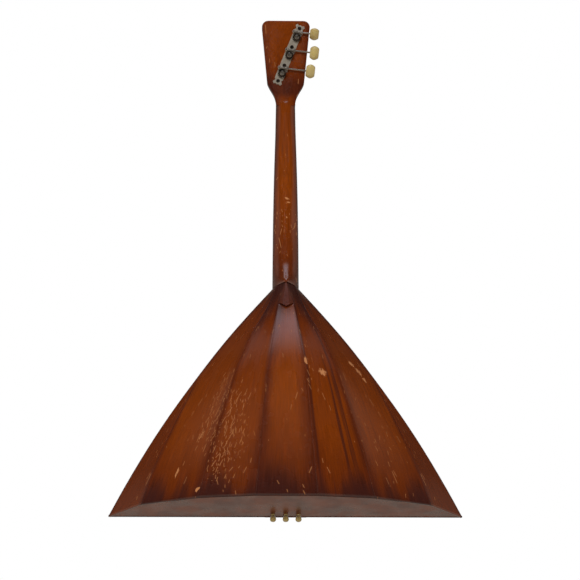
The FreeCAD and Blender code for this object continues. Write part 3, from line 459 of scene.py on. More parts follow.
def build_chip_group():
    """A ragged patch of lost varnish at one place of a surface, leaning with Slant."""
    tree, source, target = start_group(
        "Chip",
        [("float", "Across", 0.5), ("float", "Along", 0.5), ("vector", "Vector", None),
         ("float", "Place across", 0.5), ("float", "Place along", 0.5),
         ("float", "Half width", 0.1), ("float", "Half length", 0.02), ("float", "Slant", 0.0)],
        [("float", "Mask")])
    down = calc(tree, "DIVIDE", calc(tree, "SUBTRACT", source["Along"], source["Place along"]),
                source["Half length"])
    aside = calc(tree, "DIVIDE", calc(tree, "SUBTRACT", source["Across"], source["Place across"]),
                 source["Half width"])
    aside = calc(tree, "MULTIPLY_ADD", down, source["Slant"], aside)
    far = calc(tree, "ADD", calc(tree, "MULTIPLY", aside, aside), calc(tree, "MULTIPLY", down, down))
    ragged = noise(tree, scaled(tree, source["Vector"], (1, 1, 0.5)), 380.0, 4.0, 0.7)
    level = calc(tree, "MULTIPLY_ADD", calc(tree, "SUBTRACT", ragged, 0.5), 4.5, far)
    feed(tree, target["Mask"], graded(tree, level, 0.3, 0.6, 1.0, 0.0))


def start_material(name):
    material = bpy.data.materials.new(name)
    material.use_nodes = True
    tree = material.node_tree
    surface = tree.nodes["Principled BSDF"]
    return material, tree, surface


def place_of(tree):
    return tree.nodes.new("ShaderNodeTexCoord").outputs["Object"]


def raise_surface(tree, surface, height, distance, strength=1.0):
    bump = add(tree, "ShaderNodeBump", {"Height": height, "Distance": distance,
                                        "Strength": strength})
    feed(tree, surface.inputs["Normal"], bump.outputs[0])


def set_surface(surface, **values):
    for name, value in values.items():
        surface.inputs[name.replace("_", " ")].default_value = value


# ---------------------------------------------------------------- finishes
def tone(name):
    return tuple(getattr(colours(), name))


def varnish_wood(across, along, vector, tree, surface, glow, rubbed, streak=0.0, chips=(), gloss=0.7):
    """Glossy sunburst over figured maple, with its scratches and rubbed ridges."""
    grain = use_group(tree, "Wood Grain", Vector=vector, Fibres_per_metre=1100.0,
                      Figure_per_metre=34.0, Wander=0.6)
    start, peak, end, reach, strength = glow
    burst = use_group(tree, "Sunburst", Across=across, Along=along, Light=tone("amber"),
                      Middle=tone("russet"), Dark=tone("shade"), Edge_reach=reach,
                      Start=start, Peak=peak, End=end, Cloud=grain["Figure"], Strength=strength)
    fibre = calc(tree, "MULTIPLY_ADD", grain["Fibre"], 0.5, 0.70)
    tint = joined(tree, fibre, fibre, fibre)
    wood = mixed(tree, 1.0, burst["Colour"], tint, "MULTIPLY")
    lines = noise(tree, scaled(tree, vector, (1, 1, 0.02)), 150.0, 3.0, 0.6)
    dark = calc(tree, "MULTIPLY", graded(tree, lines, 0.52, 0.66), streak)
    wood = mixed(tree, dark, wood, tone("shade"))
    wood = mixed(tree, calc(tree, "MULTIPLY", grain["Pores"], 0.35), wood, tone("shade"))
    marks = []
    for lean, per_metre, thickness, share in (
            (0.10, 65.0, 0.045, 0.9), (0.35, 105.0, 0.065, 0.9), (-0.15, 150.0, 0.08, 0.9)):
        lines = use_group(tree, "Scratches", Vector=scaled(tree, vector, (1, 1, 1), (lean, 0, lean)),
                          Per_metre=per_metre, Share=calc(tree, "MULTIPLY", rubbed, share),
                          Thickness=thickness, Reach=0.62, Lean=lean, Spread=0.6)
        marks.append(lines["Mask"])
    scratches = calc(tree, "MAXIMUM", calc(tree, "MAXIMUM", marks[0], marks[1]), marks[2])
    for chip in chips:
        broken = use_group(tree, "Chip", Across=across, Along=along, Vector=vector,
                           Place_across=chip[0], Place_along=chip[1], Half_width=chip[2],
                           Half_length=chip[3], Slant=chip[4])
        scratches = calc(tree, "MAXIMUM", scratches, calc(tree, "MULTIPLY", broken["Mask"], 1.5))
    inward = calc(tree, "MINIMUM", across, calc(tree, "SUBTRACT", 1.0, across))
    ridge = graded(tree, inward, 0.0, 0.035, 1.0, 0.0)
    wear = use_group(tree, "Edge Wear", Vector=vector, Edge=ridge, Per_metre=260.0,
                     Amount=0.42)
    worn = calc(tree, "MAXIMUM", calc(tree, "MULTIPLY", scratches, 0.75),
                calc(tree, "MULTIPLY", wear["Mask"], 0.45))
    feed(tree, surface.inputs["Base Color"], mixed(tree, worn, wood, tone("bare")))
    rough = graded(tree, wear["Smudge"], 0.0, 1.0, 0.20, 0.34)
    feed(tree, surface.inputs["Roughness"], calc(tree, "MULTIPLY_ADD", worn, 0.3, rough))
    feed(tree, surface.inputs["Coat Weight"], graded(tree, worn, 0.0, 0.5, gloss, 0.1))
    waves = noise(tree, vector, 22.0, 1.0)
    height = calc(tree, "MULTIPLY_ADD", grain["Height"], 0.03, waves)
    height = calc(tree, "MULTIPLY_ADD", worn, -0.06, height)
    raise_surface(tree, surface, height, 0.0009, 0.6)
    set_surface(surface, Coat_Roughness=0.09, Coat_IOR=1.5, IOR=1.45)


def rubbed_region(tree, across, along, place, least):
    """1 inside an oval of the surface, given as its middle and half sizes, to a least value."""
    aside = calc(tree, "DIVIDE", calc(tree, "SUBTRACT", across, place[0]), place[2])
    down = calc(tree, "DIVIDE", calc(tree, "SUBTRACT", along, place[1]), place[3])
    far = calc(tree, "ADD", calc(tree, "MULTIPLY", aside, aside), calc(tree, "MULTIPLY", down, down))
    return graded(tree, far, 0.3, 1.3, place[4], least)


def stave_finish(name, glow, rubbed, least=0.04, streak=0.0, width=0.06, chips=()):
    """The varnish on one stave, along the stave's own UV map.

    glow is the sunburst's start, peak and end down the stave, its reach from the edges and its
    strength. rubbed is the middle, half sizes and strength of the scratched place. Each chip
    is a middle, half sizes and a slant. All are shares of the stave's width and the body's
    length.
    """
    material, tree, surface = start_material(name)
    uv = tree.nodes.new("ShaderNodeUVMap")
    uv.uv_map = "stave"
    across, along, _ = parts_of(tree, uv.outputs[0])
    vector = joined(tree, calc(tree, "MULTIPLY", across, width), 0.0,
                    calc(tree, "MULTIPLY", along, BODY_LENGTH))
    region = rubbed_region(tree, across, along, rubbed, least)
    varnish_wood(across, along, vector, tree, surface, glow, region, streak, chips)
    return material


def neck_finish():
    """The same varnish on the neck and head, dark under the head and dull at the edges; painted shade
    darkens the sides, where the round neck turns from the light.
    """
    material, tree, surface = start_material("sunburst_neck")
    place = place_of(tree)
    x, _, z = parts_of(tree, place)
    half = graded(tree, z, JOINT_Z, 0.0, JOINT_HALF_WIDTH, NUT_HALF_WIDTH)
    half = calc(tree, "ADD", half, graded(tree, z, 2 * MM, 32 * MM, 0.0, 12.5 * MM))
    half = calc(tree, "ADD", half, graded(tree, z, 20 * MM, 115 * MM, 0.0, 8 * MM))
    # across runs from side to side; the sunburst's darkening towards its ends is painted shade on the
    # neck's rounded sides
    across = calc(tree, "MULTIPLY_ADD", calc(tree, "DIVIDE", x, half), 0.5, 0.5)
    along = calc(tree, "ADD", graded(tree, z, 0.0, JOINT_Z, 0.0, 1.0),
                 graded(tree, z, -4 * MM, 14 * MM, 0.0, -0.5))
    along = calc(tree, "ADD", along, graded(tree, z, 22 * MM, 60 * MM, 0.0, 0.42))
    region = rubbed_region(tree, across, along, (0.5, 0.75, 0.6, 0.2, 0.3), 0.03)
    aside = calc(tree, "ABSOLUTE", calc(tree, "SUBTRACT", across, 0.5))
    gloss = graded(tree, aside, 0.25, 0.42, 0.9, 0.05)
    chips = ((0.45, 0.55, 0.10, 0.010, 0.6), (0.38, 0.58, 0.08, 0.006, 0.2),
             (0.46, 0.70, 0.06, 0.006, 0.0))
    # the edge reach of 0.26 paints shade down both sides of the neck and head, on top of the real
    # sunburst along its length
    varnish_wood(across, along, place, tree, surface, (-0.75, 0.40, 1.26, 0.26, 1.0), region,
                 0.2, chips, gloss)
    return material


def plain_varnish(name, colour_a, colour_b, roughness=0.3, coat=0.5, scratch=0.15):
    """Varnished wood between two tones, its grain upright; celluloid has one tone for both."""
    material, tree, surface = start_material(name)
    place = place_of(tree)
    grain = use_group(tree, "Wood Grain", Vector=place, Fibres_per_metre=1000.0,
                      Figure_per_metre=40.0, Wander=0.5)
    wear = use_group(tree, "Edge Wear", Vector=place, Edge=0.0, Per_metre=320.0, Amount=0.0)
    shade = calc(tree, "MULTIPLY_ADD", grain["Figure"], 0.4, calc(tree, "MULTIPLY",
                                                                 grain["Fibre"], 0.6))
    wood = mixed(tree, shade, tone(colour_b), tone(colour_a))
    lines = use_group(tree, "Scratches", Vector=place, Per_metre=110.0, Share=scratch,
                      Thickness=0.02, Reach=0.5, Lean=0.7, Spread=2.0)
    worn = calc(tree, "MULTIPLY", lines["Mask"], 0.4)
    feed(tree, surface.inputs["Base Color"], mixed(tree, worn, wood, tone("bare")))
    feed(tree, surface.inputs["Roughness"],
         graded(tree, wear["Smudge"], 0.0, 1.0, roughness * 0.8, roughness * 1.3))
    raise_surface(tree, surface, grain["Height"], 0.00012)
    set_surface(surface, Coat_Weight=coat, Coat_Roughness=0.12)
    return material


def spruce_finish(name, base, coat):
    """Straight close rings with darker latewood lines, under varnish or bare."""
    material, tree, surface = start_material(name)
    place = place_of(tree)
    x, _, z = parts_of(tree, place)
    drift = noise(tree, scaled(tree, place, (1, 1, 0.1)), 14.0, 2.0)
    across = calc(tree, "MULTIPLY_ADD", drift, 0.006, x)
    rings = noise(tree, joined(tree, across, 0.0, calc(tree, "MULTIPLY", z, 0.004)), 620.0, 1.0)
    latewood = graded(tree, rings, 0.50, 0.68)
    grain = use_group(tree, "Wood Grain", Vector=place, Fibres_per_metre=1500.0,
                      Figure_per_metre=25.0, Wander=0.2)
    pale = mixed(tree, calc(tree, "MULTIPLY", grain["Figure"], 0.35), tone(base), tone("bare"))
    wood = mixed(tree, calc(tree, "MULTIPLY", latewood, 0.45), pale, tone("amber"))
    wood = mixed(tree, calc(tree, "MULTIPLY", grain["Fibre"], 0.12), wood, tone("russet"))
    lines = use_group(tree, "Scratches", Vector=place, Per_metre=70.0, Share=0.3,
                      Thickness=0.012, Reach=0.5, Lean=0.4, Spread=3.0)
    feed(tree, surface.inputs["Base Color"],
         mixed(tree, calc(tree, "MULTIPLY", lines["Mask"], 0.5), wood, tone("russet")))
    feed(tree, surface.inputs["Roughness"], graded(tree, grain["Figure"], 0.0, 1.0, 0.32, 0.46))
    raise_surface(tree, surface, calc(tree, "MULTIPLY_ADD", latewood, 0.5, grain["Height"]),
                  0.00010)
    set_surface(surface, Coat_Weight=coat, Coat_Roughness=0.15)
    return material


def metal_finish(name, bright, dull, low, high, tarnish=0.5, shine=1.0):
    """Metal with tarnish and dark grease in random patches, and fine scratches."""
    material, tree, surface = start_material(name)
    place = place_of(tree)
    wear = use_group(tree, "Edge Wear", Vector=place, Edge=0.45, Per_metre=520.0, Amount=0.5)
    patches = noise(tree, place, 150.0, 5.0, 0.6)
    dulled = calc(tree, "MULTIPLY", graded(tree, patches, 0.38, 0.66), tarnish)
    lines = use_group(tree, "Scratches", Vector=place, Per_metre=260.0, Share=0.6,
                      Thickness=0.03, Reach=0.5, Lean=0.3, Spread=3.0)
    metal = mixed(tree, dulled, tone(bright), tone(dull))
    metal = mixed(tree, calc(tree, "MULTIPLY", wear["Mask"], 0.5), metal, tone("gunmetal"))
    feed(tree, surface.inputs["Base Color"],
         mixed(tree, calc(tree, "MULTIPLY", lines["Mask"], 0.5), metal, tone(bright)))
    rough = graded(tree, dulled, 0.0, 1.0, low, high)
    feed(tree, surface.inputs["Roughness"], rough)
    feed(tree, surface.inputs["Metallic"], graded(tree, dulled, 0.0, 1.0, shine, 0.5 * shine))
    raise_surface(tree, surface, patches, 0.00008)
    return material


def plastic_finish(name, base, deep):
    """Aged ivory plastic: mottled, with darker patches, with a soft polish."""
    material, tree, surface = start_material(name)
    place = place_of(tree)
    cloud = noise(tree, place, 90.0, 3.0, 0.55)
    wear = use_group(tree, "Edge Wear", Vector=place, Edge=0.3, Per_metre=420.0, Amount=0.5)
    body = mixed(tree, graded(tree, cloud, 0.35, 0.75), tone(base), tone(deep))
    feed(tree, surface.inputs["Base Color"],
         mixed(tree, calc(tree, "MULTIPLY", wear["Mask"], 0.35), body, tone("bare")))
    feed(tree, surface.inputs["Roughness"], graded(tree, cloud, 0.3, 0.7, 0.22, 0.38))
    raise_surface(tree, surface, cloud, 0.00015)
    set_surface(surface, Subsurface_Weight=0.25, Subsurface_Scale=0.004,
                Subsurface_Radius=(1.0, 0.7, 0.35), Coat_Weight=0.3, Coat_Roughness=0.1)
    return material


FINISHES = {}


def finish(name):
    return FINISHES[name]


def make_finishes():
    build_grain_group()
    build_sunburst_group()
    build_scratch_group()
    build_wear_group()
    build_chip_group()
    FINISHES.update({
        "centre": stave_finish(
            "sunburst_centre", (0.0, 0.50, 0.97, 0.30, 1.0), (0.5, 0.93, 0.6, 0.05, 0.15),
            width=0.05),
        "inner_left": stave_finish(
            "sunburst_inner_left", (0.02, 0.64, 0.98, 0.22, 0.7), (0.9, 0.40, 0.2, 0.2, 0.3),
            0.03, 0.75,
            chips=((0.49, 0.42, 0.13, 0.020, 0.3), (0.95, 0.37, 0.08, 0.022, 0.0))),
        "inner_right": stave_finish(
            "sunburst_inner_right", (0.02, 0.64, 0.98, 0.22, 0.7),
            (0.30, 0.68, 0.42, 0.24, 1.0), 0.05, 0.1),
        "outer_left": stave_finish(
            "sunburst_outer_left", (-0.10, 0.62, 0.995, 0.16, 0.8),
            (0.5, 0.8, 0.5, 0.2, 0.10), 0.03, 0.15, 0.09,
            chips=((0.47, 0.355, 0.07, 0.016, 0.4), (0.38, 0.385, 0.06, 0.022, 0.5),
                   (0.32, 0.42, 0.05, 0.014, 0.3))),
        "outer_right": stave_finish(
            "sunburst_outer_right", (-0.10, 0.62, 0.995, 0.16, 0.8),
            (0.92, 0.58, 0.30, 0.20, 1.0), 0.04, 0.05, 0.09,
            chips=((0.72, 0.69, 0.03, 0.017, 0.4), (0.96, 0.92, 0.04, 0.014, 0.3),
                   (0.49, 0.84, 0.02, 0.030, 0.5))),
        "side": stave_finish(
            "sunburst_side", (-0.4, 0.60, 1.6, 0.08, 0.2), (0.9, 0.7, 0.3, 0.3, 0.08),
            width=0.05),
        "neck": neck_finish(),
        "tail": plain_varnish("varnish_tail", "amber", "shade", 0.34, 0.2),
        "heel": plain_varnish("varnish_heel", "russet", "shade", 0.30, 0.6, 0.05),
        "dark": plain_varnish("dark_hardwood", "shade", "dark_wood", 0.42, 0.1),
        "binding": plain_varnish("binding_wood", "shade", "dark_wood", 0.6, 0.0),
        "spruce": spruce_finish("varnished_spruce", "spruce", 0.5),
        "raw": spruce_finish("raw_spruce", "raw_spruce", 0.0),
        "plate": metal_finish("worn_nickel", "nickel", "tarnish", 0.30, 0.55, 0.7, 0.45),
        "gear": metal_finish("greasy_steel", "gunmetal", "dark_wood", 0.35, 0.6, 0.7),
        "screw": metal_finish("screw_steel", "nickel", "gunmetal", 0.25, 0.5, 0.6),
        "brass": metal_finish("fret_brass", "brass", "nickel", 0.20, 0.4, 0.3),
        "string": metal_finish("string_steel", "string", "nickel", 0.22, 0.35, 0.3),
        "ivory": plastic_finish("ivory_plastic", "ivory", "aged_ivory"),
        "bone": plastic_finish("polished_bone", "bone", "ivory"),
        "celluloid": plain_varnish("black_celluloid", "celluloid", "celluloid", 0.25, 0.6, 0.3),
    })


def dress(node, name):
    """Give a CAD node its finish through its material slots."""
    for slot in frame["nodes"][node].material_slots:
        slot.material = finish(name)


# ---------------------------------------------------------------- the body's staves
# One row per station down the body, in fractions of its length, half width and depth:
# (station, rim x, side ridge x and y, outer ridge x and y, inner ridge x and y)
STATIONS = (
    (0.00, 0.077, 0.077, 0.033, 0.057, 0.256, 0.004, 0.474),
    (0.10, 0.196, 0.196, 0.033, 0.107, 0.350, 0.042, 0.526),
    (0.25, 0.363, 0.363, 0.033, 0.200, 0.575, 0.072, 0.708),
    (0.40, 0.512, 0.511, 0.036, 0.276, 0.740, 0.102, 0.862),
    (0.60, 0.696, 0.623, 0.240, 0.354, 0.845, 0.126, 0.965),
    (0.80, 0.857, 0.730, 0.420, 0.425, 0.900, 0.148, 1.015),
    (1.00, 1.000, 0.809, 0.577, 0.490, 0.890, 0.172, 1.000),
)
LAST_STATION = len(STATIONS) - 1
SIDE_START = 3
NOTCH_STATION = 1
NOTCH_DROP = 0.54


def ridge(column):
    """The smooth line of the rim (column 0) or a ridge (1 to 3) on the right-hand side."""
    points = []
    for row in STATIONS:
        if column == 0:
            x, y = row[1] * HALF_WIDTH, BOARD_BACK
        else:
            x, y = row[2 * column] * HALF_WIDTH, row[2 * column + 1] * BODY_DEPTH
        points.append((max(x, 0.3 * MM), y, JOINT_Z - row[0] * (BODY_LENGTH - TAIL_SLOPE * y)))
    return points


RIM = natural_spline(ridge(0))
OUTER_RIDGE = natural_spline(ridge(2))
INNER_RIDGE = natural_spline(ridge(3))
SIDE_LOW = natural_spline(ridge(1)[SIDE_START:])


def side_ridge(station):
    return SIDE_LOW(max(station - SIDE_START, 0.0))


def outer_edge(station):
    """The outer stave's outer edge: the rim over the shoulder, then the side ridge."""
    return RIM(station) if station <= SIDE_START else side_ridge(station)


def mirrored(line, side):
    return lambda station: line(station) * np.array((side, 1, 1))


def notch_height(x):
    """Where the heel's arrow ends on the centre stave, at a distance from the middle."""
    tip = INNER_RIDGE(NOTCH_STATION)
    return tip[2] - NOTCH_DROP * (tip[0] - abs(x))


def notch_start(near, far, across):
    """The station at which a line along the centre stave leaves the heel's arrow."""
    low, high = 0.0, 3.0
    for _ in range(40):
        middle = (low + high) / 2
        point = near(middle) * (1 - across) + far(middle) * across
        if point[2] > notch_height(point[0]):
            low = middle
        else:
            high = middle
    return low


def stave(name, near, far, start=0.0, notched=False, rows=90):
    """A bent board between two ridges, softened along its edges, with its own UV map."""
    soft, dip = sizes().ridge_softness, sizes().ridge_dip
    middle = (start + LAST_STATION) / 2
    width = float(np.linalg.norm(far(middle) - near(middle)))
    close = [0.0, 0.25 * soft / width, 0.6 * soft / width, 1.1 * soft / width,
             1.9 * soft / width]
    inside = list(np.linspace(close[-1], 1 - close[-1], 11)[1:-1])
    across = close + inside + [1 - value for value in reversed(close)]
    bm = bmesh.new()
    uv = bm.loops.layers.uv.new("stave")
    grid, places = [], {}
    for u in across:
        begin = notch_start(near, far, u) if notched else start
        column = []
        for row in range(rows + 1):
            share = row / rows
            station = begin + (LAST_STATION - begin) * share
            a, b = near(station), far(station)
            step = b - a
            length = max(float(np.linalg.norm(step)), 1e-6)
            ahead = near(min(station + 0.02, LAST_STATION)) - near(max(station - 0.02, 0.0))
            normal = np.cross(ahead, step)
            normal /= max(float(np.linalg.norm(normal)), 1e-9)
            if normal[1] < 0:
                normal = -normal
            edge = min(u, 1 - u) * length
            fall = max(0.0, 1 - edge / (2 * soft))
            point = a + step * u - normal * dip * min(fall * fall, 1.0)
            vertex = bm.verts.new(point)
            column.append(vertex)
            places[vertex] = (u, (JOINT_Z - point[2]) / BODY_LENGTH)
        grid.append(column)
    for left, right in zip(grid, grid[1:]):
        for row in range(rows):
            corners = (left[row], left[row + 1], right[row + 1], right[row])
            face = bm.faces.new(corners)
            for loop in face.loops:
                loop[uv].uv = places[loop.vert]
    bmesh.ops.remove_doubles(bm, verts=bm.verts, dist=2e-6)
    face_the_back(bm)
    piece = make_object(name, bm)
    thicken(piece, "stave thickness", sizes().stave_thickness)
    return piece


def heel_arrow(name):
    """The raised end of the heel: a narrow facet with a flank on each side, cut to a V."""
    reach, samples, rows, narrow = 2.0, 60, 24, 0.45
    levels = [-INNER_RIDGE(station)[2] for station in np.linspace(0.0, reach, samples)]

    def ridge_at(z):
        return np.interp(-z, levels, range(samples)) / (samples - 1) * reach

    def spot(share, z):
        inner, outer = INNER_RIDGE(ridge_at(z)), OUTER_RIDGE(ridge_at(z))
        slope = (inner[1] - outer[1]) / max(outer[0] - inner[0], MM)
        rise = slope * inner[0] * (1 - max(abs(share), narrow)) * 0.75
        return share * inner[0], inner[1] + rise + 0.1 * MM, z

    bm = bmesh.new()
    grid = []
    for share in (-1.0, -0.72, -narrow, -0.2, 0.0, 0.2, narrow, 0.72, 1.0):
        end = JOINT_Z - 30 * MM
        for _ in range(8):
            end = notch_height(spot(share, end)[0])
        column = [spot(share, JOINT_Z + (end - JOINT_Z) * row / rows)
                  for row in range(rows + 1)]
        grid.append([bm.verts.new(point) for point in column])
    for left, right in zip(grid, grid[1:]):
        for row in range(rows):
            bm.faces.new((left[row], left[row + 1], right[row + 1], right[row]))
    face_the_back(bm)
    piece = make_object(name, bm)
    thicken(piece, "heel depth", 6 * MM)
    edge = piece.modifiers.new("softened facets", "BEVEL")
    edge.width = 0.3 * MM
    edge.segments = 2
    edge.angle_limit = math.radians(14.0)
    edge.harden_normals = True
    return piece


def settled(piece):
    """Replace the piece's mesh by what its modifiers make of it."""
    graph = bpy.context.evaluated_depsgraph_get()
    mesh = bpy.data.meshes.new_from_object(piece.evaluated_get(graph))
    piece.modifiers.clear()
    old = piece.data
    piece.data = mesh
    bpy.data.meshes.remove(old)
    mesh.name = piece.name
    return piece


# ---------------------------------------------------------------- knobs, pegs and screws
def joint_line(name):
    joint = next(j for j in frame["joints"] if j["name"] == name)
    return Vector(joint["pos_m"]), Vector(joint["axis"]).normalized()


def oval_axes(node, axis):
    """The centre, long radius direction and half sizes of an oval CAD solid about an axis."""
    points = [v.co for v in frame["nodes"][node].data.vertices]
    low = min(point.dot(axis) for point in points)
    high = max(point.dot(axis) for point in points)
    origin, _ = joint_line("knob_turn_" + node[-1])
    centre = origin + axis * ((low + high) / 2 - origin.dot(axis))
    spokes = [(p - centre) - axis * (p - centre).dot(axis) for p in points]
    long = max(spokes, key=lambda spoke: spoke.length)
    across = axis.cross(long).normalized()
    short = max(abs(spoke.dot(across)) for spoke in spokes)
    return centre, long.normalized(), across, long.length, short, (high - low) / 2


def barrel(name, centre, along, long, across, radii, half):
    """A moulded oval knob: crowned sides, flat ends with rolled edges, and a dished middle."""
    wide, thin = radii
    rings = (
        (0.00, 0.94), (0.26, 0.95), (0.36, 0.98), (0.44, 1.0), (0.56, 1.0), (0.64, 0.98),
        (0.70, 0.93), (0.78, 0.80), (0.875, 0.60), (0.950, 0.36), (0.992, 0.12), (1.0, 0.0),
    )
    profile = [(share, -half * height) for share, height in rings]
    profile += [(share, half * height) for share, height in reversed(rings[:-1])]
    bm = bmesh.new()
    steps, squareness = 56, 2.15
    grid = []
    for share, height in profile:
        ring = []
        for step in range(steps):
            turn = 2 * math.pi * step / steps
            c, s = math.cos(turn), math.sin(turn)
            square = (abs(c) ** squareness + abs(s) ** squareness) ** (-1 / squareness)
            point = (centre + along * height + long * (wide * share * square * c)
                     + across * (thin * share * square * s))
            ring.append(bm.verts.new(point))
        grid.append(ring)
    for low, high in zip(grid, grid[1:]):
        for step in range(steps):
            after = (step + 1) % steps
            bm.faces.new((low[step], low[after], high[after], high[step]))
    tidy_normals(bm)
    return make_object(name, bm)


def peg_place(x):
    """Where a tail peg stands on the slanted tail, pointing away from the body."""
    height = 10 * MM
    turn = Matrix.Rotation(math.pi + TAIL_SLANT, 4, "X")
    return Matrix.Translation((x, height, TAIL_Z + TAIL_SLOPE * height)) @ turn


# ---------------------------------------------------------------- geometry node trees
def geometry_tree(name, inputs):
    """A tree whose first input is the piece's mesh, with named number inputs after it."""
    tree = bpy.data.node_groups.new(name, "GeometryNodeTree")
    tree.interface.new_socket("Geometry", in_out="INPUT", socket_type="NodeSocketGeometry")
    for kind, label, default in inputs:
        socket = tree.interface.new_socket(label, in_out="INPUT", socket_type=kind)
        socket.default_value = default
    tree.interface.new_socket("Geometry", in_out="OUTPUT", socket_type="NodeSocketGeometry")
    return tree, tree.nodes.new("NodeGroupInput").outputs, tree.nodes.new("NodeGroupOutput")


def end_tree(tree, target, instances, material):
    real = add(tree, "GeometryNodeRealizeInstances", {"Geometry": instances}).outputs[0]
    done = add(tree, "GeometryNodeSetMaterial", {"Geometry": real, "Material": material})
    feed(tree, target.inputs[0], done.outputs[0])


def fret_tree(material):
    """Frets placed by the equal-tempered rule, each as long as the tapering board is wide."""
    tree, source, target = geometry_tree("Fret Rule", (
        ("NodeSocketInt", "Frets", 19), ("NodeSocketFloat", "String length", 0.435),
        ("NodeSocketFloat", "Board front", -0.004),
        ("NodeSocketFloat", "Half width at nut", NUT_HALF_WIDTH),
        ("NodeSocketFloat", "Half width at joint", JOINT_HALF_WIDTH),
        ("NodeSocketFloat", "Nut to joint", -JOINT_Z)))
    line = add(tree, "GeometryNodeMeshLine", {"Count": source["Frets"]}, mode="OFFSET")
    number = add(tree, "GeometryNodeInputIndex").outputs[0]
    semitones = calc(tree, "DIVIDE", calc(tree, "ADD", number, 1.0), -12.0)
    left = calc(tree, "POWER", 2.0, semitones)
    fall = calc(tree, "MULTIPLY", calc(tree, "SUBTRACT", left, 1.0), source["String length"])
    spot = joined(tree, 0.0, source["Board front"], fall)
    moved = add(tree, "GeometryNodeSetPosition", {"Geometry": line.outputs[0], "Position": spot})
    share = calc(tree, "DIVIDE", fall, calc(tree, "MULTIPLY", source["Nut to joint"], -1.0))
    widen = calc(tree, "SUBTRACT", source["Half width at joint"], source["Half width at nut"])
    half = calc(tree, "MULTIPLY_ADD", share, widen, source["Half width at nut"])
    size = joined(tree, half, 1.0, 1.0)
    stand = add(tree, "GeometryNodeInstanceOnPoints",
                {"Points": moved.outputs[0], "Instance": source["Geometry"], "Scale": size})
    end_tree(tree, target, stand.outputs[0], material)
    return tree


def grown(piece, tree, **values):
    """Run a tree on the piece and keep the plain mesh that it makes."""
    step = piece.modifiers.new(tree.name, "NODES")
    step.node_group = tree
    for item in tree.interface.items_tree:
        name = item.name.replace(" ", "_")
        if item.in_out == "INPUT" and name in values:
            step[item.identifier] = values[name]
    return settled(piece)


# ---------------------------------------------------------------- operators: wood
class BALALAIKA_OT_finishes(bpy.types.Operator):
    """Make the shader groups and the finishes that every piece shares"""
    bl_idname = "balalaika.finishes"
    bl_label = "Finishes"

    def execute(self, context):
        make_finishes()
        return {"FINISHED"}


class BALALAIKA_OT_staves(bpy.types.Operator):
    """Bend the seven staves of the back, from the rim round to the centre"""
    bl_idname = "balalaika.staves"
    bl_label = "Staves"

    def execute(self, context):
        slot = "varnished_maple"
        centre = stave("centre_stave_board", INNER_RIDGE, mirrored(INNER_RIDGE, -1), notched=True)
        finish_piece(centre, finish("centre"), slot, "root", "stave_centre")
        for name, side in SIDES:
            rim, low = mirrored(outer_edge, side), mirrored(side_ridge, side)
            outer, inner = mirrored(OUTER_RIDGE, side), mirrored(INNER_RIDGE, side)
            boards = (
                ("inner", stave("inner_stave_board_" + name, outer, inner)),
                ("outer", stave("outer_stave_board_" + name, rim, outer)),
                ("side", stave("side_stave_board_" + name, mirrored(RIM, side), low,
                               start=SIDE_START + 0.04)),
            )
            for kind, piece in boards:
                look = "side" if kind == "side" else kind + "_" + name
                finish_piece(piece, finish(look), slot, "root", "stave_%s_%s" % (kind, name))
        return {"FINISHED"}


class BALALAIKA_OT_neck(bpy.types.Operator):
    """Round over the carved neck, its heel and the head's veneer"""
    bl_idname = "balalaika.neck"
    bl_label = "Neck and head"

    def execute(self, context):
        softened("neck", finish("neck"), "neck_wood", "root", 0.9 * MM, "carved_neck",
                 dissolve=False)
        arrow = heel_arrow("heel_arrow")
        finish_piece(arrow, finish("heel"), "varnished_maple", "root", "heel_block")
        softened("head_face", finish("dark"), "dark_wood", "root", 0.4 * MM, dissolve=False)
        return {"FINISHED"}


class BALALAIKA_OT_tail(bpy.types.Operator):
    """Finish the tail plate, its edge strips and the three turned pegs"""
    bl_idname = "balalaika.tail"
    bl_label = "Tail"

    def execute(self, context):
        dress("tail_plate", "tail")
        for name in ("binding_left", "binding_right", "binding_tail"):
            dress(name, "binding")
        softened("tail_saddle", finish("dark"), "dark_wood", "root")
        shank = (
            (0, -14.0), (1.9, -14.0), (2.3, -0.5), (2.6, 0.0), (2.62, 0.25), (2.5, 0.8),
            (2.3, 1.7), (2.28, 2.5), (2.42, 3.1), (2.9, 3.7), (3.38, 4.3), (3.68, 5.1),
            (3.8, 6.0), (3.72, 6.9), (3.45, 7.75), (2.95, 8.5), (2.2, 9.05), (1.2, 9.4), (0, 9.5),
        )
        profile = [(radius * MM, height * MM) for radius, height in shank]
        for index in (1, 2, 3):
            node = "tail_pin_%d" % index
            low, high = node_box(node)
            peg = lathe("tail_peg_%d" % index, profile, peg_place((low.x + high.x) / 2))
            finish_piece(peg, finish("ivory"), "ivory_plastic", "root", node)
        return {"FINISHED"}


class BALALAIKA_OT_front(bpy.types.Operator):
    """Finish the soundboard with its rosette, guard, bridge and the wood inside"""
    bl_idname = "balalaika.front"
    bl_label = "Front and inside"

    def execute(self, context):
        dress("soundboard", "spruce")
        for name in ("rosette", "pickguard"):
            dress(name, "celluloid")
        softened("bridge", finish("dark"), "dark_wood", "root", 0.4 * MM)
        softened("bridge_saddle", finish("bone"), "bone", "root", 0.25 * MM)
        inside = ("lining_left", "lining_right", "upper_brace", "lower_brace", "tail_block",
                  "corner_block_left", "corner_block_right")
        for name in inside:
            dress(name, "raw")
        return {"FINISHED"}


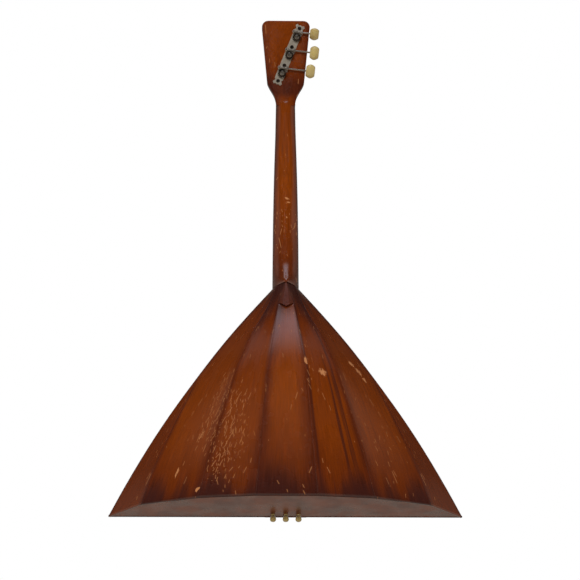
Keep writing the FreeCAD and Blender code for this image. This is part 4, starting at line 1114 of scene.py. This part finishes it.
class BALALAIKA_OT_fingerboard(bpy.types.Operator):
    """Finish the fingerboard, set its frets by rule, and add the nut and position dots"""
    bl_idname = "balalaika.fingerboard"
    bl_label = "Fingerboard and frets"

    def execute(self, context):
        softened("fingerboard", finish("dark"), "dark_wood", "root", 0.3 * MM)
        softened("nut", finish("bone"), "bone", "root", 0.35 * MM)
        dress("position_dots", "bone")
        low, _ = node_box("frets")
        board_low, _ = node_box("fingerboard")
        half, crown = sizes().fret_width / 2, board_low.y - low.y
        bm = bmesh.new()
        ends = []
        for x in (-1.0, 1.0):
            ring = [bm.verts.new((x, 0.0, half)), bm.verts.new((x, 0.0, -half))]
            for step in range(1, 8):
                turn = math.pi * step / 8
                ring.append(bm.verts.new((x * 0.985, -crown * math.sin(turn),
                                          -half * math.cos(turn))))
            ends.append(ring)
            bm.faces.new(ring)
        for i in range(len(ends[0])):
            j = (i + 1) % len(ends[0])
            bm.faces.new((ends[0][i], ends[0][j], ends[1][j], ends[1][i]))
        tidy_normals(bm)
        piece = make_object("fret_wires", bm)
        grown(piece, fret_tree(finish("brass")), Frets=sizes().fret_count,
              String_length=sizes().scale_length, Board_front=board_low.y)
        smooth_by_angle(piece, 50.0)
        finish_piece(piece, finish("brass"), "fret_wire", "root", "frets")
        return {"FINISHED"}


# ---------------------------------------------------------------- operators: metal
class BALALAIKA_OT_machine(bpy.types.Operator):
    """Finish the tuner plate, brackets, ferrules, gears, worms and posts"""
    bl_idname = "balalaika.machine"
    bl_label = "Tuning machine"

    def execute(self, context):
        softened("tuner_plate", finish("plate"), "plated_steel", "root", 0.2 * MM,
                 dissolve=False)
        softened("worm_brackets", finish("screw"), "plated_steel", "root", 0.22 * MM)
        softened("post_ferrules", finish("plate"), "plated_steel", "root", 0.2 * MM)
        for number in "123":
            post_body = "post_body_" + number
            softened("gear_" + number, finish("gear"), "dark_steel", post_body, 0.12 * MM)
            softened("gear_screw_" + number, finish("screw"), "dark_steel", post_body, 0.18 * MM)
            softened("string_post_" + number, finish("plate"), "plated_steel", post_body,
                     0.2 * MM)
            dress("worm_shaft_" + number, "screw")
            dress("string_winding_" + number, "string")
        return {"FINISHED"}


class BALALAIKA_OT_screws(bpy.types.Operator):
    """Finish the four screws that hold the tuner plate"""
    bl_idname = "balalaika.screws"
    bl_label = "Plate screws"

    def execute(self, context):
        softened("plate_screws", finish("gear"), "dark_steel", "root", 0.15 * MM)
        return {"FINISHED"}


class BALALAIKA_OT_knobs(bpy.types.Operator):
    """Mould the three oval knobs on their shafts"""
    bl_idname = "balalaika.knobs"
    bl_label = "Knobs"

    def execute(self, context):
        for number in "123":
            node = "knob_" + number
            _, axis = joint_line("knob_turn_" + number)
            centre, long, across, wide, thin, half = oval_axes(node, axis)
            piece = barrel("oval_knob_" + number, centre, axis, long, across, (wide, thin), half)
            finish_piece(piece, finish("ivory"), "ivory_plastic", "knob_body_" + number, node)
        return {"FINISHED"}


class BALALAIKA_OT_strings(bpy.types.Operator):
    """Finish the three steel strings"""
    bl_idname = "balalaika.strings"
    bl_label = "Strings"

    def execute(self, context):
        for number in "123":
            dress("string_" + number, "string")
        return {"FINISHED"}


# ---------------------------------------------------------------- stage
def area_light(name, place, target, wide, high, power):
    """A rectangular light aimed at a point, which shows in no reflection."""
    data = bpy.data.lights.new(name, "AREA")
    data.shape = "RECTANGLE"
    data.size, data.size_y = wide, high
    data.energy = power
    lamp = bpy.data.objects.new(name, data)
    aim = Vector(target) - Vector(place)
    lamp.matrix_world = Matrix.Translation(place) @ aim.to_track_quat("-Z", "Y").to_matrix().to_4x4()
    lamp.visible_glossy = False
    bpy.context.collection.objects.link(lamp)


def studio_world():
    """White behind the object, and a dim room with a bright ceiling for light and gloss."""
    world = bpy.data.worlds.new("studio")
    bpy.context.scene.world = world
    world.use_nodes = True
    tree = world.node_tree
    tree.nodes.clear()
    direction = tree.nodes.new("ShaderNodeTexCoord").outputs["Generated"]
    x, y, z = parts_of(tree, direction)
    wide = calc(tree, "ABSOLUTE", x)
    above = calc(tree, "MULTIPLY", graded(tree, z, 0.65, 0.84), graded(tree, y, -0.9, -0.4))
    ceiling = calc(tree, "MULTIPLY", above, graded(tree, wide, 0.5, 0.15))
    front = calc(tree, "MULTIPLY", graded(tree, y, -0.1, -0.8), graded(tree, z, 0.6, 0.2))
    below = graded(tree, z, -0.15, -0.7)
    beside = graded(tree, wide, 0.72, 0.93)
    room = 0.02
    for zone, brightness in ((ceiling, 1.5), (front, 0.22), (below, 0.36), (beside, 0.38)):
        room = calc(tree, "MULTIPLY_ADD", zone, brightness, room)
    seen = tree.nodes.new("ShaderNodeLightPath").outputs["Is Camera Ray"]
    strength = calc(tree, "MAXIMUM", seen, room)
    tint = mixed(tree, ceiling, (1.0, 0.90, 0.78, 1), (0.80, 0.84, 1.0, 1))
    tint = mixed(tree, seen, tint, (1, 1, 1, 1))
    shade = add(tree, "ShaderNodeBackground", {"Color": tint, "Strength": strength})
    output = tree.nodes.new("ShaderNodeOutputWorld")
    feed(tree, output.inputs["Surface"], shade.outputs[0])


def stand_camera():
    """A long lens behind the instrument, a little below it, looking up."""
    data = bpy.data.cameras.new("camera")
    data.lens, data.sensor_width = 115.44, 36.0
    camera = bpy.data.objects.new("camera", data)
    distance, pitch = 2.3941, math.radians(15.562)
    yaw, roll = math.radians(1.246), math.radians(-0.054)
    target = Vector((-5.744 * MM, 0.0, -253.229 * MM))
    away = Vector((math.sin(yaw) * math.cos(pitch), math.cos(yaw) * math.cos(pitch),
                   -math.sin(pitch)))
    forward = -away
    right = forward.cross(Vector((0, 0, 1))).normalized()
    upward = right.cross(forward)
    facing = Matrix((right, upward, away)).transposed()
    facing = facing @ Matrix.Rotation(roll, 3, "Z")
    camera.matrix_world = Matrix.Translation(target + away * distance) @ facing.to_4x4()
    data.clip_end = 50.0
    bpy.context.collection.objects.link(camera)
    bpy.context.scene.camera = camera


class BALALAIKA_OT_stage(bpy.types.Operator):
    """Set the pale floor, the soft lights and the camera"""
    bl_idname = "balalaika.stage"
    bl_label = "Stage"

    def execute(self, context):
        studio_world()
        bm = bmesh.new()
        bmesh.ops.create_grid(bm, x_segments=12, y_segments=12, size=9.0)
        bm.transform(Matrix.Translation((0, 0, FLOOR_Z)))
        floor = make_object("floor", bm)
        material, tree, surface = start_material("pale_floor")
        dust = noise(tree, place_of(tree), 1.3, 3.0)
        feed(tree, surface.inputs["Base Color"],
             mixed(tree, dust, (0.80, 0.79, 0.77, 1), (0.86, 0.85, 0.84, 1)))
        set_surface(surface, Roughness=0.8, Emission_Color=(1, 1, 1, 1), Emission_Strength=0.42)
        floor.data.materials.append(material)
        floor.visible_glossy = False
        floor.visible_diffuse = False
        area_light("key_softbox", (0.5, 2.6, 0.5), (0, 0, -0.3), 1.8, 1.4, 41.0)
        area_light("low_softbox", (-0.6, 2.2, -1.1), (0, 0, -0.3), 1.4, 0.8, 6.0)
        area_light("front_softbox", (0.4, -1.8, 1.9), (0, 0, -0.25), 1.6, 1.2, 45.0)
        stand_camera()
        context.scene.view_settings.view_transform = "Standard"
        return {"FINISHED"}


STEPS = (
    BALALAIKA_OT_finishes, BALALAIKA_OT_staves, BALALAIKA_OT_neck, BALALAIKA_OT_tail,
    BALALAIKA_OT_front, BALALAIKA_OT_fingerboard, BALALAIKA_OT_machine, BALALAIKA_OT_screws,
    BALALAIKA_OT_knobs, BALALAIKA_OT_strings, BALALAIKA_OT_stage,
)


class BALALAIKA_PT_panel(bpy.types.Panel):
    """The instrument's pieces, sizes and colours"""
    bl_idname = "BALALAIKA_PT_panel"
    bl_label = "Balalaika"
    bl_space_type = "VIEW_3D"
    bl_region_type = "UI"
    bl_category = "Balalaika"

    def draw(self, context):
        for step in STEPS:
            self.layout.operator(step.bl_idname)
        for group in (context.scene.balalaika_sizes, context.scene.balalaika_colours):
            box = self.layout.box()
            for name in group.__annotations__:
                box.prop(group, name)


CLASSES = (BodySizes, FinishColours) + STEPS + (BALALAIKA_PT_panel,)


def register():
    for cls in CLASSES:
        bpy.utils.register_class(cls)
    bpy.types.Scene.balalaika_sizes = PointerProperty(type=BodySizes)
    bpy.types.Scene.balalaika_colours = PointerProperty(type=FinishColours)


def unregister():
    del bpy.types.Scene.balalaika_colours
    del bpy.types.Scene.balalaika_sizes
    for cls in reversed(CLASSES):
        bpy.utils.unregister_class(cls)


def main():
    register()
    for step in STEPS:
        area, action = step.bl_idname.split(".")
        getattr(getattr(bpy.ops, area), action)()


if __name__ == "__main__":
    main()
